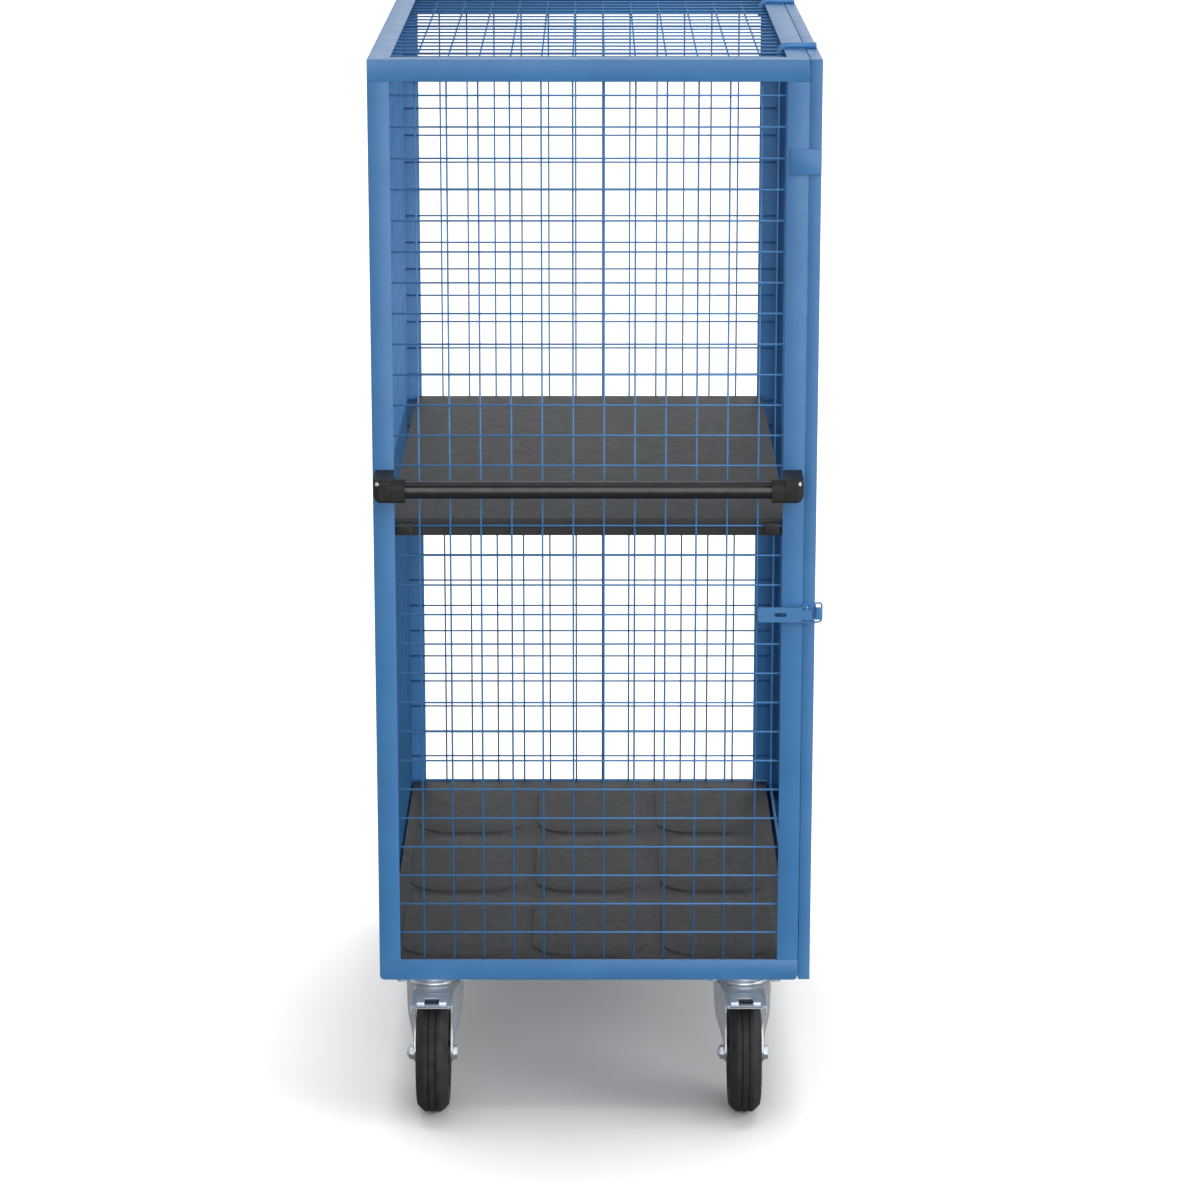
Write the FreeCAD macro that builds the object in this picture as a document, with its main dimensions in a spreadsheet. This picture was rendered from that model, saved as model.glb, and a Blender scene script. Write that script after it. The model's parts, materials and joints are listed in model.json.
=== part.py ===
import FreeCAD, Part
import math
import os
import re

import Sketcher

# Mesh cage trolley with a lift-off side gate, a hanging shelf, a push bar and four castors.
# Axes: X across the cage, Y along it with the push bar at -Y, Z up from the floor.
# Millimetres. Formulas use the names in the sheet "sizes" and are read in the cage's own frame,
# whose origin is the middle of the cage at floor level; place() moves that frame to the row's origin.

SIZES = {
    # where the cage's middle lies, so that the origin is the middle of the whole footprint
    "centre_x": -16.375,
    "centre_y": 28.5,
    # steel frame
    "cage_width": 700,
    "cage_length": 1000,
    "frame_bottom": 235,
    "frame_top": 1775,
    "angle_leg": 35,
    "angle_wall": 3,
    "base_wall": 4,
    "end_flange": 135,
    "corner_radius": 8,
    # welded mesh
    "wire_radius": 1.5,
    "wire_pitch": 50,
    "weld_sink": 0.3,
    "lowest_wire": 318,
    "highest_wire": 1718,
    "wire_end_low": 245,
    "wire_end_high": 1750,
    # load deck
    "deck_width": 678,
    "deck_length": 978,
    "deck_bottom": 253,
    "deck_thickness": 15,
    "pad_width": 192,
    "pad_length": 295,
    "pad_radius": 60,
    "pad_rise": 3,
    "pad_edge": 1.5,
    "pad_column_pitch": 221,
    "pad_row_pitch": 324,
    "pad_row_shift": -4,
    "bearer_width": 40,
    "bearer_length": 900,
    "bearer_pitch": 150,
    # hanging shelf
    "shelf_width": 648,
    "shelf_length": 978,
    "shelf_top": 1028,
    "shelf_depth": 28,
    "shelf_wall": 2,
    "shelf_edge": 2.4,
    "hook_inset": 286,
    "hook_width": 24,
    "hook_wall": 2,
    "hook_reach": 499.5,
    "hook_low": 1003,
    "hook_high": 1021.8,
    # push bar
    "bar_radius": 14,
    "bar_bore": 11.5,
    "bar_length": 623,
    "bar_forward": 562,
    "bar_height": 1093,
    "groove_width": 2.4,
    "groove_depth": 1.6,
    "arm_inner": 315,
    "arm_width": 30,
    "arm_front": 580,
    "arm_bottom": 1075,
    "arm_height": 37,
    "arm_bevel": 10,
    "arm_round": 12,
    "socket_radius": 18,
    "socket_inner": 294,
    "socket_bore_end": 312,
    "screw_radius": 4.5,
    "screw_depth": 6,
    "screw_rise": 1.4,
    "screw_height": 1100,
    # castors
    "castor_x": 262,
    "castor_y": 428,
    "plate_width": 135,
    "plate_length": 110,
    "plate_wall": 6,
    "bolt_x": 52.5,
    "bolt_y": 40,
    "bolt_radius": 5,
    "bolt_hole": 5.5,
    "bolt_across": 9.5,
    "bolt_head": 6.4,
    "bolt_proud": 1,
    "race_radius": 46,
    "race_bottom": 216,
    "kingpin_radius": 8,
    "kingpin_low": 190,
    "kingpin_nut": 14,
    "kingpin_nut_low": 192,
    "kingpin_nut_depth": 8.5,
    "running_gap": 0.05,
    "wheel_radius": 100,
    "wheel_trail": 57,
    # swivel fork
    "fork_wall": 3.5,
    "fork_inner": 29,
    "fork_axle_inner": 29.3,
    "fork_flare": 16.5,
    "fork_front": 38,
    "fork_back": 40,
    "fork_mid": 140,
    "fork_mid_front": 62,
    "fork_mid_back": 12,
    "fork_mid_flare": 13,
    "fork_low": 114,
    "fork_low_front": 72,
    "fork_low_back": 42,
    "crown_bottom": 201,
    "crown_wall": 4,
    "crown_radius": 42,
    "crown_top": 215.5,
    "axle_eye": 16,
    "axle_radius": 6,
    "axle_head": 11,
    "axle_head_depth": 8,
    "axle_nut_depth": 10,
    "axle_proud": 2,
    "rear_leg_half": 42,
    # brake pedal
    "pedal_pivot_y": 47,
    "pedal_pivot_z": 202,
    "pedal_ear": 4.8,
    "pedal_rivet": 3,
    "pedal_rivet_head": 4.5,
    "pedal_play": 0.3,
    "pedal_half": 34.5,
    "pedal_flange": 1.2,
    "pedal_bottom": 207,
    "pedal_wall": 2.5,
    "pedal_front": 130,
    "pedal_back": 46,
    "pedal_lip_low": 205,
    "tread_half": 25,
    "tread_front": 115,
    "tread_back": 77,
    "tread_rise": 3,
    "tread_slot_half": 12,
    "tread_slot_back": 95,
    # wheels
    "tyre_half": 27,
    "tyre_shoulder": 85,
    "tyre_flat": 14,
    "tyre_groove": 6,
    "tyre_groove_half": 1.3,
    "tyre_groove_depth": 1.6,
    "rim_half": 22,
    "rim_radius": 66,
    "rim_inner": 60,
    "rim_bevel": 4,
    "web_half": 5,
    "hub_half": 28,
    "hub_radius": 20,
    "hub_bevel": 3,
    "hub_foot": 8,
    # lift-off gate
    "gate_inner": 351,
    "gate_outer": 370,
    "gate_half": 500.5,
    "gate_bottom": 236,
    "gate_top": 1775.3,
    "gate_leg": 35,
    "gate_wire_half": 495,
    "gate_hook_y": 350,
    "gate_hook_radius": 5,
    "gate_hook_bend": 14,
    "gate_hook_outer": 368,
    "gate_hook_inner": 308,
    "gate_hook_low": 1752,
    "guide_inner": 320,
    "guide_bottom": 1593,
    "guide_height": 41,
    "guide_wall": 4,
    # toggle latch
    "latch_height": 873,
    "latch_x": 356,
    "latch_y": 511,
    "latch_wall": 2,
    "latch_base_inner": 316,
    "latch_base_half": 12,
    "ear_root": 338,
    "ear_high": 11,
    "ear_radius": 4,
    "latch_pin_radius": 2,
    "latch_pin_proud": 0.6,
    "lever_length": 80,
    "lever_start": 4,
    "lever_face": 5.5,
    "lever_half": 12.5,
    "lever_cheek": 1.2,
    "lever_cheek_end": 24,
    "lever_eye": 4.6,
    "slot_start": 33,
    "slot_length": 20,
    "slot_half": 3.5,
    "loop_wire": 1.5,
    "loop_offset": 6,
    "loop_half": 16,
    "loop_end_gap": 0.35,
    "loop_bend": 6.75,
    "loop_bend_x": 374.5,
    "catch_half": 10.6,
    "catch_lip": 11.5,
    "catch_front": 508,
    "catch_back": 478,
}

# the bar's groove lies this many degrees above its front
GROOVE_TILT = -38
UP = FreeCAD.Vector(0, 0, 1)
ALONG_X = FreeCAD.Vector(1, 0, 0)
ROD_TURNS = {
    "x": FreeCAD.Rotation(FreeCAD.Vector(0, 1, 0), 90),
    "y": FreeCAD.Rotation(ALONG_X, -90),
    "z": FreeCAD.Rotation(),
}
SIDES = {"left": "-1", "right": "1"}

doc = FreeCAD.newDocument("mesh_cage_trolley")
kept = []


# ---------------------------------------------------------------- sheet, formulas and placing

def make_sheet():
    sheet = doc.addObject("Spreadsheet::Sheet", "sizes")
    for row, (alias, value) in enumerate(SIZES.items(), 1):
        sheet.set(f"A{row}", alias)
        sheet.set(f"B{row}", str(value))
        sheet.setAlias(f"B{row}", alias)
    doc.recompute()
    return sheet


def bind(thing, formulas):
    """Bind properties to formulas, in which every word is an alias of the sheet."""
    for target, formula in formulas.items():
        thing.setExpression(target, re.sub(r"[a-z][a-z_]+", r"sizes.\g<0>", formula))


def bind_base(thing, corner):
    bind(thing, dict(zip(("Placement.Base.x", "Placement.Base.y", "Placement.Base.z"), corner)))


def place(part, x="0", y="0", z="0", turn=0, axis=UP):
    """Stand a sub-part in the cage's frame and count it among the parts to write."""
    part.Placement = FreeCAD.Placement(FreeCAD.Vector(), FreeCAD.Rotation(axis, turn))
    bind_base(part, (f"centre_x + ({x})", f"centre_y + ({y})", z))
    kept.append(part)
    return part


# ---------------------------------------------------------------- Part primitives and booleans

def block(corner, size):
    """Box from its low corner and its size."""
    box = doc.addObject("Part::Box", "Block")
    bind(box, dict(zip(("Length", "Width", "Height"), size)))
    bind_base(box, corner)
    return box


def side_block(side, inner, width, y, z):
    """Box that starts at the distance inner from the middle plane, on one side; y and z are (low, size)."""
    low = f"{side} * ({inner}) - ({width}) * (1 - {side}) / 2"
    return block((low, y[0], z[0]), (width, y[1], z[1]))


def rod(start, radius, length, along="z"):
    cylinder = doc.addObject("Part::Cylinder", "Rod")
    cylinder.Placement = FreeCAD.Placement(FreeCAD.Vector(), ROD_TURNS[along])
    bind(cylinder, {"Radius": radius, "Height": length})
    bind_base(cylinder, start)
    return cylinder


def hexagon(start, radius, length, along="z"):
    prism = doc.addObject("Part::Prism", "Hexagon")
    prism.Polygon = 6
    prism.Placement = FreeCAD.Placement(FreeCAD.Vector(), ROD_TURNS[along])
    bind(prism, {"Circumradius": radius, "Height": length})
    bind_base(prism, start)
    return prism


def ball(centre, radius):
    sphere = doc.addObject("Part::Sphere", "Ball")
    bind(sphere, {"Radius": radius})
    bind_base(sphere, centre)
    return sphere


def bend(centre, bend_radius, wire_radius, sweep, rotation):
    torus = doc.addObject("Part::Torus", "Bend")
    torus.Angle3 = sweep
    torus.Placement = FreeCAD.Placement(FreeCAD.Vector(), rotation)
    bind(torus, {"Radius1": bend_radius, "Radius2": wire_radius})
    bind_base(torus, centre)
    return torus


def fused(pieces, label="Fused"):
    fuse = doc.addObject("Part::MultiFuse", label)
    fuse.Shapes = pieces
    fuse.Label = label
    return fuse


def trimmed(base, tool, label="Trimmed"):
    cut = doc.addObject("Part::Cut", label)
    cut.Base = base
    cut.Tool = tool
    cut.Label = label
    return cut


def grouped(pieces, label):
    group = doc.addObject("Part::Compound", label)
    group.Links = pieces
    group.Label = label
    return group


def edge_numbers(shape, wanted):
    """Numbers of the edges whose middle point and direction suit the test."""
    numbers = []
    for number, edge in enumerate(shape.Edges, 1):
        middle = edge.BoundBox.Center
        spread = edge.BoundBox
        run = max((spread.XLength, "x"), (spread.YLength, "y"), (spread.ZLength, "z"))[1]
        if wanted(middle, run):
            numbers.append(number)
    return numbers


def dressed(kind, base, size, wanted):
    """Part::Fillet or Part::Chamfer on the edges that suit the test."""
    doc.recompute()
    dress = doc.addObject(kind, "Dressed")
    dress.Base = base
    dress.Edges = [(number, size, size) for number in edge_numbers(base.Shape, wanted)]
    return dress


# ---------------------------------------------------------------- PartDesign bodies

def new_body(label):
    body = doc.addObject("PartDesign::Body", label)
    body.Label = label
    return body


def sketch_on(body, role, offset="0"):
    plane = next(feature for feature in body.Origin.OriginFeatures if feature.Role == role)
    sketch = body.newObject("Sketcher::SketchObject", "Sketch")
    sketch.AttachmentSupport = (plane, [""])
    sketch.MapMode = "FlatFace"
    bind(sketch, {"AttachmentOffset.Base.z": offset})
    return sketch


def hold_point(sketch, geometry, point, place_at):
    """Hold a sketch point at bound distances from the sketch's origin."""
    for kind, formula in zip(("DistanceX", "DistanceY"), place_at):
        index = sketch.addConstraint(Sketcher.Constraint(kind, -1, 1, geometry, point, 1.0))
        bind(sketch, {f"Constraints[{index}]": formula})


def outline(sketch, corners):
    """Closed straight-sided outline through the corners."""
    count = len(corners)
    first = sketch.GeometryCount
    ring = [FreeCAD.Vector(math.cos(2 * math.pi * step / count), math.sin(2 * math.pi * step / count), 0)
            for step in range(count)]
    for step in range(count):
        sketch.addGeometry(Part.LineSegment(ring[step], ring[(step + 1) % count]))
    for step in range(count):
        following = first + (step + 1) % count
        sketch.addConstraint(Sketcher.Constraint("Coincident", first + step, 2, following, 1))
        hold_point(sketch, first + step, 1, corners[step])
    return sketch


def rectangle(sketch, low, high):
    return outline(sketch, [low, (high[0], low[1]), high, (low[0], high[1])])


def circle(sketch, centre, radius):
    geometry = sketch.addGeometry(Part.Circle(FreeCAD.Vector(1, 1, 0), UP, 1.0))
    hold_point(sketch, geometry, 3, centre)
    index = sketch.addConstraint(Sketcher.Constraint("Radius", geometry, 1.0))
    bind(sketch, {f"Constraints[{index}]": radius})
    return sketch


def pad(body, sketch, length, both_ways=False):
    feature = body.newObject("PartDesign::Pad", "Pad")
    feature.Profile = sketch
    feature.Midplane = both_ways
    bind(feature, {"Length": length})
    return feature


def pocket(body, sketch, length=None, along_normal=False):
    """Cut to a bound depth, or right through both ways when no depth is given."""
    feature = body.newObject("PartDesign::Pocket", "Pocket")
    feature.Profile = sketch
    if length is None:
        feature.Midplane = True
        feature.Type = "ThroughAll"
    else:
        feature.Reversed = along_normal
        bind(feature, {"Length": length})
    return feature


def revolve(body, sketch):
    feature = body.newObject("PartDesign::Revolution", "Revolution")
    feature.Profile = sketch
    feature.ReferenceAxis = (sketch, ["H_Axis"])
    feature.Angle = 360
    return feature


def loft(body, *sections):
    feature = body.newObject("PartDesign::AdditiveLoft", "Loft")
    feature.Profile = sections[0]
    feature.Sections = list(sections[1:])
    feature.Ruled = True
    return feature


def round_edges(body, feature, radius, wanted):
    doc.recompute()
    fillet = body.newObject("PartDesign::Fillet", "Fillet")
    fillet.Base = (feature, [f"Edge{number}" for number in edge_numbers(feature.Shape, wanted)])
    bind(fillet, {"Radius": radius})
    return fillet


# ---------------------------------------------------------------- steel frame

def make_post(label, x, y, turn):
    """Equal angle with its outer corner on the cage's corner."""
    body = new_body(label)
    profile = outline(sketch_on(body, "XY_Plane"), [
        ("0", "0"), ("angle_leg", "0"), ("angle_leg", "angle_wall"),
        ("angle_wall", "angle_wall"), ("angle_wall", "angle_leg"), ("0", "angle_leg")])
    pad(body, profile, "frame_top - frame_bottom - 2 * angle_leg")
    place(body, x, y, "frame_bottom + angle_leg", turn)


def mitred_plan(body, half_run, half_depth, outer, inner):
    """Plan of a rail between two mitred corners, from outer to inner behind its outer face."""
    return outline(sketch_on(body, "XY_Plane"), [
        (f"-({half_run} - {outer})", f"-({half_depth} - {outer})"),
        (f"{half_run} - {outer}", f"-({half_depth} - {outer})"),
        (f"{half_run} - {inner}", f"-({half_depth} - {inner})"),
        (f"-({half_run} - {inner})", f"-({half_depth} - {inner})")])


def make_top_rail(label, half_run, half_depth, turn):
    """Angle with mitred ends, one leg upright outside and one flat on top, pointing inward."""
    body = new_body(label)
    pad(body, mitred_plan(body, half_run, half_depth, "0", "angle_leg"), "angle_leg")
    hollow = mitred_plan(body, half_run, half_depth, "angle_wall", "(angle_leg + 1)")
    pocket(body, hollow, "angle_leg - angle_wall", along_normal=True)
    place(body, z="frame_top - angle_leg", turn=turn)


def make_base_end_rail(label, turn):
    """Folded rail: an upright leg outside and a wide flange that carries two castors."""
    body = new_body(label)
    front = "-(cage_length / 2)"
    whole = rectangle(sketch_on(body, "YZ_Plane"), (front, "0"), (f"{front} + end_flange", "angle_leg"))
    solid = pad(body, whole, "cage_width", both_ways=True)
    round_edges(body, solid, "corner_radius", lambda middle, run: run == "y" and middle.z < 1)
    hollow = rectangle(sketch_on(body, "YZ_Plane"), (f"{front} + base_wall", "base_wall"),
                       (f"{front} + end_flange + 1", "angle_leg + 1"))
    pocket(body, hollow)
    holes = sketch_on(body, "XY_Plane")
    for side in SIDES.values():
        for column in ("-1", "1"):
            for row in ("-1", "1"):
                centre = (f"{side} * castor_x + {column} * bolt_x", f"{row} * bolt_y - castor_y")
                circle(holes, centre, "bolt_hole")
    pocket(body, holes)
    place(body, z="frame_bottom", turn=turn)


def make_base_side_rail(label, turn):
    """Angle along the side, with its upright leg run on to the end rails."""
    body = new_body(label)
    outer = "cage_width / 2"
    between_flanges = "cage_length - 2 * end_flange"
    between_ends = "cage_length - 2 * base_wall"
    for low, high, length in (
            ((f"{outer} - angle_leg", "0"), (f"{outer} - base_wall / 2", "base_wall"), between_flanges),
            ((f"{outer} - base_wall", "0"), (outer, "angle_leg"), between_flanges),
            ((f"{outer} - base_wall", "base_wall"), (outer, "angle_leg"), between_ends)):
        pad(body, rectangle(sketch_on(body, "XZ_Plane"), low, high), length, both_ways=True)
    place(body, z="frame_bottom", turn=turn)


def make_frame():
    half_x, half_y = "cage_width / 2", "cage_length / 2"
    make_post("post_front_left", f"-{half_x}", f"-{half_y}", 0)
    make_post("post_front_right", half_x, f"-{half_y}", 90)
    make_post("post_rear_right", half_x, half_y, 180)
    make_post("post_rear_left", f"-{half_x}", half_y, 270)
    make_top_rail("top_rail_front", half_x, half_y, 0)
    make_top_rail("top_rail_right", half_y, half_x, 90)
    make_top_rail("top_rail_rear", half_x, half_y, 180)
    make_top_rail("top_rail_left", half_y, half_x, 270)
    make_base_end_rail("base_rail_front", 0)
    make_base_end_rail("base_rail_rear", 180)
    make_base_side_rail("base_rail_right", 0)
    make_base_side_rail("base_rail_left", 180)


# ---------------------------------------------------------------- welded wire mesh

def steps(low, high, pitch):
    return [low + pitch * count for count in range(round((high - low) / pitch) + 1)]


def make_mesh(label, sheet, origin, across, along, rows, columns):
    """Mesh of straight wires: rows run along the direction across, columns along the direction along.

    rows and columns are (places, low end, high end); the columns lie one wire inside the rows."""
    inward = across.cross(along)
    wires = []
    for offset in rows[0]:
        wires.append((origin + along * offset + across * rows[1], across, rows[2] - rows[1]))
    sink = inward * (2 * sheet.wire_radius - sheet.weld_sink)
    for offset in columns[0]:
        wires.append((origin + sink + across * offset + along * columns[1], along, columns[2] - columns[1]))
    shapes = [Part.makeCylinder(sheet.wire_radius, length, start, way) for start, way, length in wires]
    mesh = doc.addObject("Part::Feature", label)
    mesh.Label = label
    mesh.Shape = Part.makeCompound(shapes)
    place(mesh)


def make_cage_meshes(sheet):
    vector = FreeCAD.Vector
    half_x, half_y = sheet.cage_width / 2, sheet.cage_length / 2
    first = sheet.wire_pitch / 2
    inside = sheet.angle_wall + sheet.wire_radius
    heights = steps(sheet.lowest_wire, sheet.highest_wire, sheet.wire_pitch)
    upright = (sheet.wire_end_low, sheet.wire_end_high)
    last_column = half_x - first - sheet.wire_pitch
    end_columns = steps(-last_column, last_column, sheet.wire_pitch)
    side_columns = steps(-half_y + first, half_y - first, sheet.wire_pitch)
    roof_columns = steps(-half_x + first, half_x - first, sheet.wire_pitch)
    end_reach = half_x - inside - sheet.weld_sink
    side_reach = half_y - 2 * inside
    make_mesh("mesh_front", sheet, vector(0, inside - half_y, 0), vector(-1, 0, 0), UP,
              (heights, -end_reach, end_reach), (end_columns, *upright))
    make_mesh("mesh_rear", sheet, vector(0, half_y - inside, 0), ALONG_X, UP,
              (heights, -end_reach, end_reach), (end_columns, *upright))
    make_mesh("mesh_left", sheet, vector(inside - half_x, 0, 0), vector(0, 1, 0), UP,
              (heights, -side_reach, side_reach), (side_columns, *upright))
    make_mesh("mesh_roof", sheet, vector(0, 0, sheet.frame_top - inside), vector(-1, 0, 0), vector(0, 1, 0),
              (side_columns, -end_reach, end_reach), (roof_columns, -side_reach, side_reach))


# ---------------------------------------------------------------- load deck

def make_deck():
    board = block(("-(deck_width / 2)", "-(deck_length / 2)", "deck_bottom"),
                  ("deck_width", "deck_length", "deck_thickness"))
    pieces = [board]
    for column in ("-1", "0", "1"):
        for row in ("-1", "0", "1"):
            raised = block((f"{column} * pad_column_pitch - pad_width / 2",
                            f"{row} * pad_row_pitch + pad_row_shift - pad_length / 2",
                            "deck_bottom + deck_thickness"), ("pad_width", "pad_length", "pad_rise"))
            rounded = dressed("Part::Fillet", raised, SIZES["pad_radius"], lambda middle, run: run == "z")
            top = SIZES["deck_bottom"] + SIZES["deck_thickness"] + SIZES["pad_rise"]
            pieces.append(dressed("Part::Chamfer", rounded, SIZES["pad_edge"],
                                  lambda middle, run: abs(middle.z - top) < 0.01))
    place(fused(pieces, "deck_board"))


def make_bearers():
    low = "frame_bottom + base_wall"
    bars = [block((f"{column} * bearer_pitch - bearer_width / 2", "-(bearer_length / 2)", low),
                  ("bearer_width", "bearer_length", f"deck_bottom - ({low})"))
            for column in ("-1", "0", "1")]
    place(grouped(bars, "deck_bearers"))


# ---------------------------------------------------------------- hanging shelf

def make_shelf_tray():
    """Sheet tray with its edges turned down, open below."""
    body = new_body("shelf_tray")
    half_x, half_y = "shelf_width / 2", "shelf_length / 2"
    plan = rectangle(sketch_on(body, "XY_Plane"), (f"-({half_x})", f"-({half_y})"), (half_x, half_y))
    solid = pad(body, plan, "shelf_depth")
    round_edges(body, solid, "shelf_edge", lambda middle, run: run == "z" or middle.z > 1)
    inner_x, inner_y = f"({half_x} - shelf_wall)", f"({half_y} - shelf_wall)"
    hollow = rectangle(sketch_on(body, "XY_Plane"), (f"-{inner_x}", f"-{inner_y}"), (inner_x, inner_y))
    pocket(body, hollow, "shelf_depth - shelf_wall", along_normal=True)
    place(body, z="shelf_top - shelf_depth")


def make_shelf_hooks():
    """Four clips that reach over a mesh wire from the shelf's end edges."""
    hooks = []
    height = "hook_high - hook_low"
    reach = "(hook_reach - shelf_length / 2)"
    for side in SIDES.values():
        for end in ("-1", "1"):
            def end_block(start, depth, low, tall):
                y_low = f"{end} * ({start}) - ({depth}) * (1 - {end}) / 2"
                return side_block(side, "hook_inset", "hook_width", (y_low, depth), (low, tall))
            inner = end_block("shelf_length / 2", "hook_wall", "hook_low", height)
            outer = end_block("hook_reach - hook_wall", "hook_wall", "hook_low", height)
            strap = end_block("shelf_length / 2", reach, "hook_high - hook_wall", "hook_wall")
            hooks.append(fused([inner, strap, outer]))
    place(grouped(hooks, "shelf_hooks"))


# ---------------------------------------------------------------- push bar

def make_push_bar():
    body = new_body("push_bar")
    tube = circle(sketch_on(body, "YZ_Plane"), ("0", "0"), "bar_radius")
    circle(tube, ("0", "0"), "bar_bore")
    pad(body, tube, "bar_length", both_ways=True)
    groove = rectangle(sketch_on(body, "YZ_Plane"), ("-(bar_radius + 1)", "-(groove_width / 2)"),
                       ("-(bar_radius - groove_depth)", "groove_width / 2"))
    pocket(body, groove)
    place(body, "0", "-bar_forward", "bar_height", GROOVE_TILT, ALONG_X)


def screw_rod(side, length, rise):
    """Cylinder that stands square on the arm's bevel and rises above it."""
    cylinder = doc.addObject("Part::Cylinder", "Screw")
    outward = FreeCAD.Vector(float(side), -1, 0)
    cylinder.Placement = FreeCAD.Placement(FreeCAD.Vector(), FreeCAD.Rotation(UP, outward))
    bind(cylinder, {"Radius": "screw_radius", "Height": length})
    back = f"({length} - {rise}) / {math.sqrt(2)}"
    bind_base(cylinder, (f"{side} * (arm_inner + arm_width - arm_bevel / 2 - {back})",
                         f"-(arm_front - arm_bevel / 2 - {back})", "screw_height"))
    return cylinder


def make_handle_bracket(label, side):
    """Plastic corner bracket: an arm from the post, a socket for the bar and a screw on its bevel."""
    arm = side_block(side, "arm_inner", "arm_width", ("-arm_front", "arm_front - cage_length / 2"),
                     ("arm_bottom", "arm_height"))
    outer = float(side) * (SIZES["arm_inner"] + SIZES["arm_width"])
    front = -SIZES["arm_front"]
    low = SIZES["arm_bottom"]
    bevelled = dressed("Part::Chamfer", arm, SIZES["arm_bevel"], lambda middle, run: run == "z"
                       and abs(middle.x - outer) < 0.01 and abs(middle.y - front) < 0.01)
    rounded = dressed("Part::Fillet", bevelled, SIZES["arm_round"], lambda middle, run: run == "y"
                      and abs(middle.x - outer) < 0.01 and abs(middle.z - low) < 0.01)
    length = "arm_inner + 1 - socket_inner"
    socket = rod((f"{side} * socket_inner - ({length}) * (1 - {side}) / 2", "-bar_forward", "bar_height"),
                 "socket_radius", length, "x")
    depth = "socket_bore_end - socket_inner + 1"
    bore = rod((f"{side} * (socket_inner - 1) - ({depth}) * (1 - {side}) / 2", "-bar_forward", "bar_height"),
               "bar_radius", depth, "x")
    drilled = trimmed(fused([rounded, socket]), bore)
    place(trimmed(drilled, screw_rod(side, "screw_depth", "0"), label))


def make_handle():
    make_push_bar()
    for word, side in SIDES.items():
        make_handle_bracket(f"handle_bracket_{word}", side)
    screws = [screw_rod(side, "screw_depth + screw_rise", "screw_rise") for side in SIDES.values()]
    place(grouped(screws, "handle_screws"))


# ---------------------------------------------------------------- castors

def bolt_places():
    return [(f"{column} * bolt_x", f"{row} * bolt_y") for column in ("-1", "1") for row in ("-1", "1")]


def drilled_plate(body):
    low = "frame_bottom - plate_wall"
    plate = rectangle(sketch_on(body, "XY_Plane", low), ("-(plate_width / 2)", "-(plate_length / 2)"),
                      ("plate_width / 2", "plate_length / 2"))
    solid = pad(body, plate, "plate_wall")
    round_edges(body, solid, "corner_radius", lambda middle, run: run == "z")
    holes = sketch_on(body, "XY_Plane", low)
    for x, y in bolt_places():
        circle(holes, (x, y), "bolt_hole")
    pocket(body, holes)


def make_castor_plate(label, x):
    """Top plate of a swivel castor with the fixed race and the kingpin."""
    body = new_body(label)
    drilled_plate(body)
    race = circle(sketch_on(body, "XY_Plane", "race_bottom"), ("0", "0"), "race_radius")
    pad(body, race, "frame_bottom - plate_wall - race_bottom")
    pin = circle(sketch_on(body, "XY_Plane", "kingpin_low"), ("0", "0"), "kingpin_radius")
    pad(body, pin, "race_bottom - kingpin_low")
    nut = circle(sketch_on(body, "XY_Plane", "kingpin_nut_low"), ("0", "0"), "kingpin_nut")
    pad(body, nut, "kingpin_nut_depth")
    place(body, x, "-castor_y")


def axle_eyes(body, y, inner):
    """Round eyes at the lower ends of the legs, and the axle's holes through both."""
    for side in SIDES.values():
        low = f"{side} * {inner} - fork_wall * (1 - {side}) / 2"
        eye = circle(sketch_on(body, "YZ_Plane", low), (y, "wheel_radius"), "axle_eye")
        pad(body, eye, "fork_wall")
    pocket(body, circle(sketch_on(body, "YZ_Plane"), (y, "wheel_radius"), "axle_radius"))


def fork_leg(body, side):
    """Flared leg: straight and narrow by the axle, wide and leaning outward from the middle to the top."""
    def section(height, inner, flare, front, back):
        return outline(sketch_on(body, "XY_Plane", height), [
            (f"{side} * {inner}", f"-{front}"),
            (f"{side} * ({inner} + fork_wall)", f"-{front}"),
            (f"{side} * ({inner} + {flare} + fork_wall)", back),
            (f"{side} * ({inner} + {flare})", back)])
    foot_low = f"{side} * fork_axle_inner - fork_wall * (1 - {side}) / 2"
    foot = rectangle(sketch_on(body, "YZ_Plane", foot_low), ("-fork_low_front", "wheel_radius"),
                     ("-fork_low_back", "fork_low"))
    pad(body, foot, "fork_wall")
    low = section("fork_low", "fork_axle_inner", "0", "fork_low_front", "-fork_low_back")
    middle = section("fork_mid", "fork_inner", "fork_mid_flare", "fork_mid_front", "fork_mid_back")
    high = section("crown_bottom + crown_wall", "fork_inner", "fork_flare", "fork_front", "fork_back")
    loft(body, low, middle, high)


def pedal_ear(body, side):
    """Ear and rivet that the brake pedal hangs on."""
    def disc(start, length, radius):
        low = f"{side} * ({start}) - ({length}) * (1 - {side}) / 2"
        face = circle(sketch_on(body, "YZ_Plane", low), ("-pedal_pivot_y", "pedal_pivot_z"), radius)
        pad(body, face, length)
    low = f"{side} * fork_inner - fork_wall * (1 - {side}) / 2"
    web = rectangle(sketch_on(body, "YZ_Plane", low), ("-pedal_pivot_y", "pedal_pivot_z - pedal_ear"),
                    ("-fork_front + 2 * pedal_flange", "pedal_pivot_z + pedal_ear"))
    pad(body, web, "fork_wall")
    disc("fork_inner", "fork_wall", "pedal_ear")
    disc("fork_inner + fork_wall", "pedal_half + pedal_play - fork_inner - fork_wall", "pedal_rivet")
    disc("pedal_half + pedal_play", "pedal_flange", "pedal_rivet_head")


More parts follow.
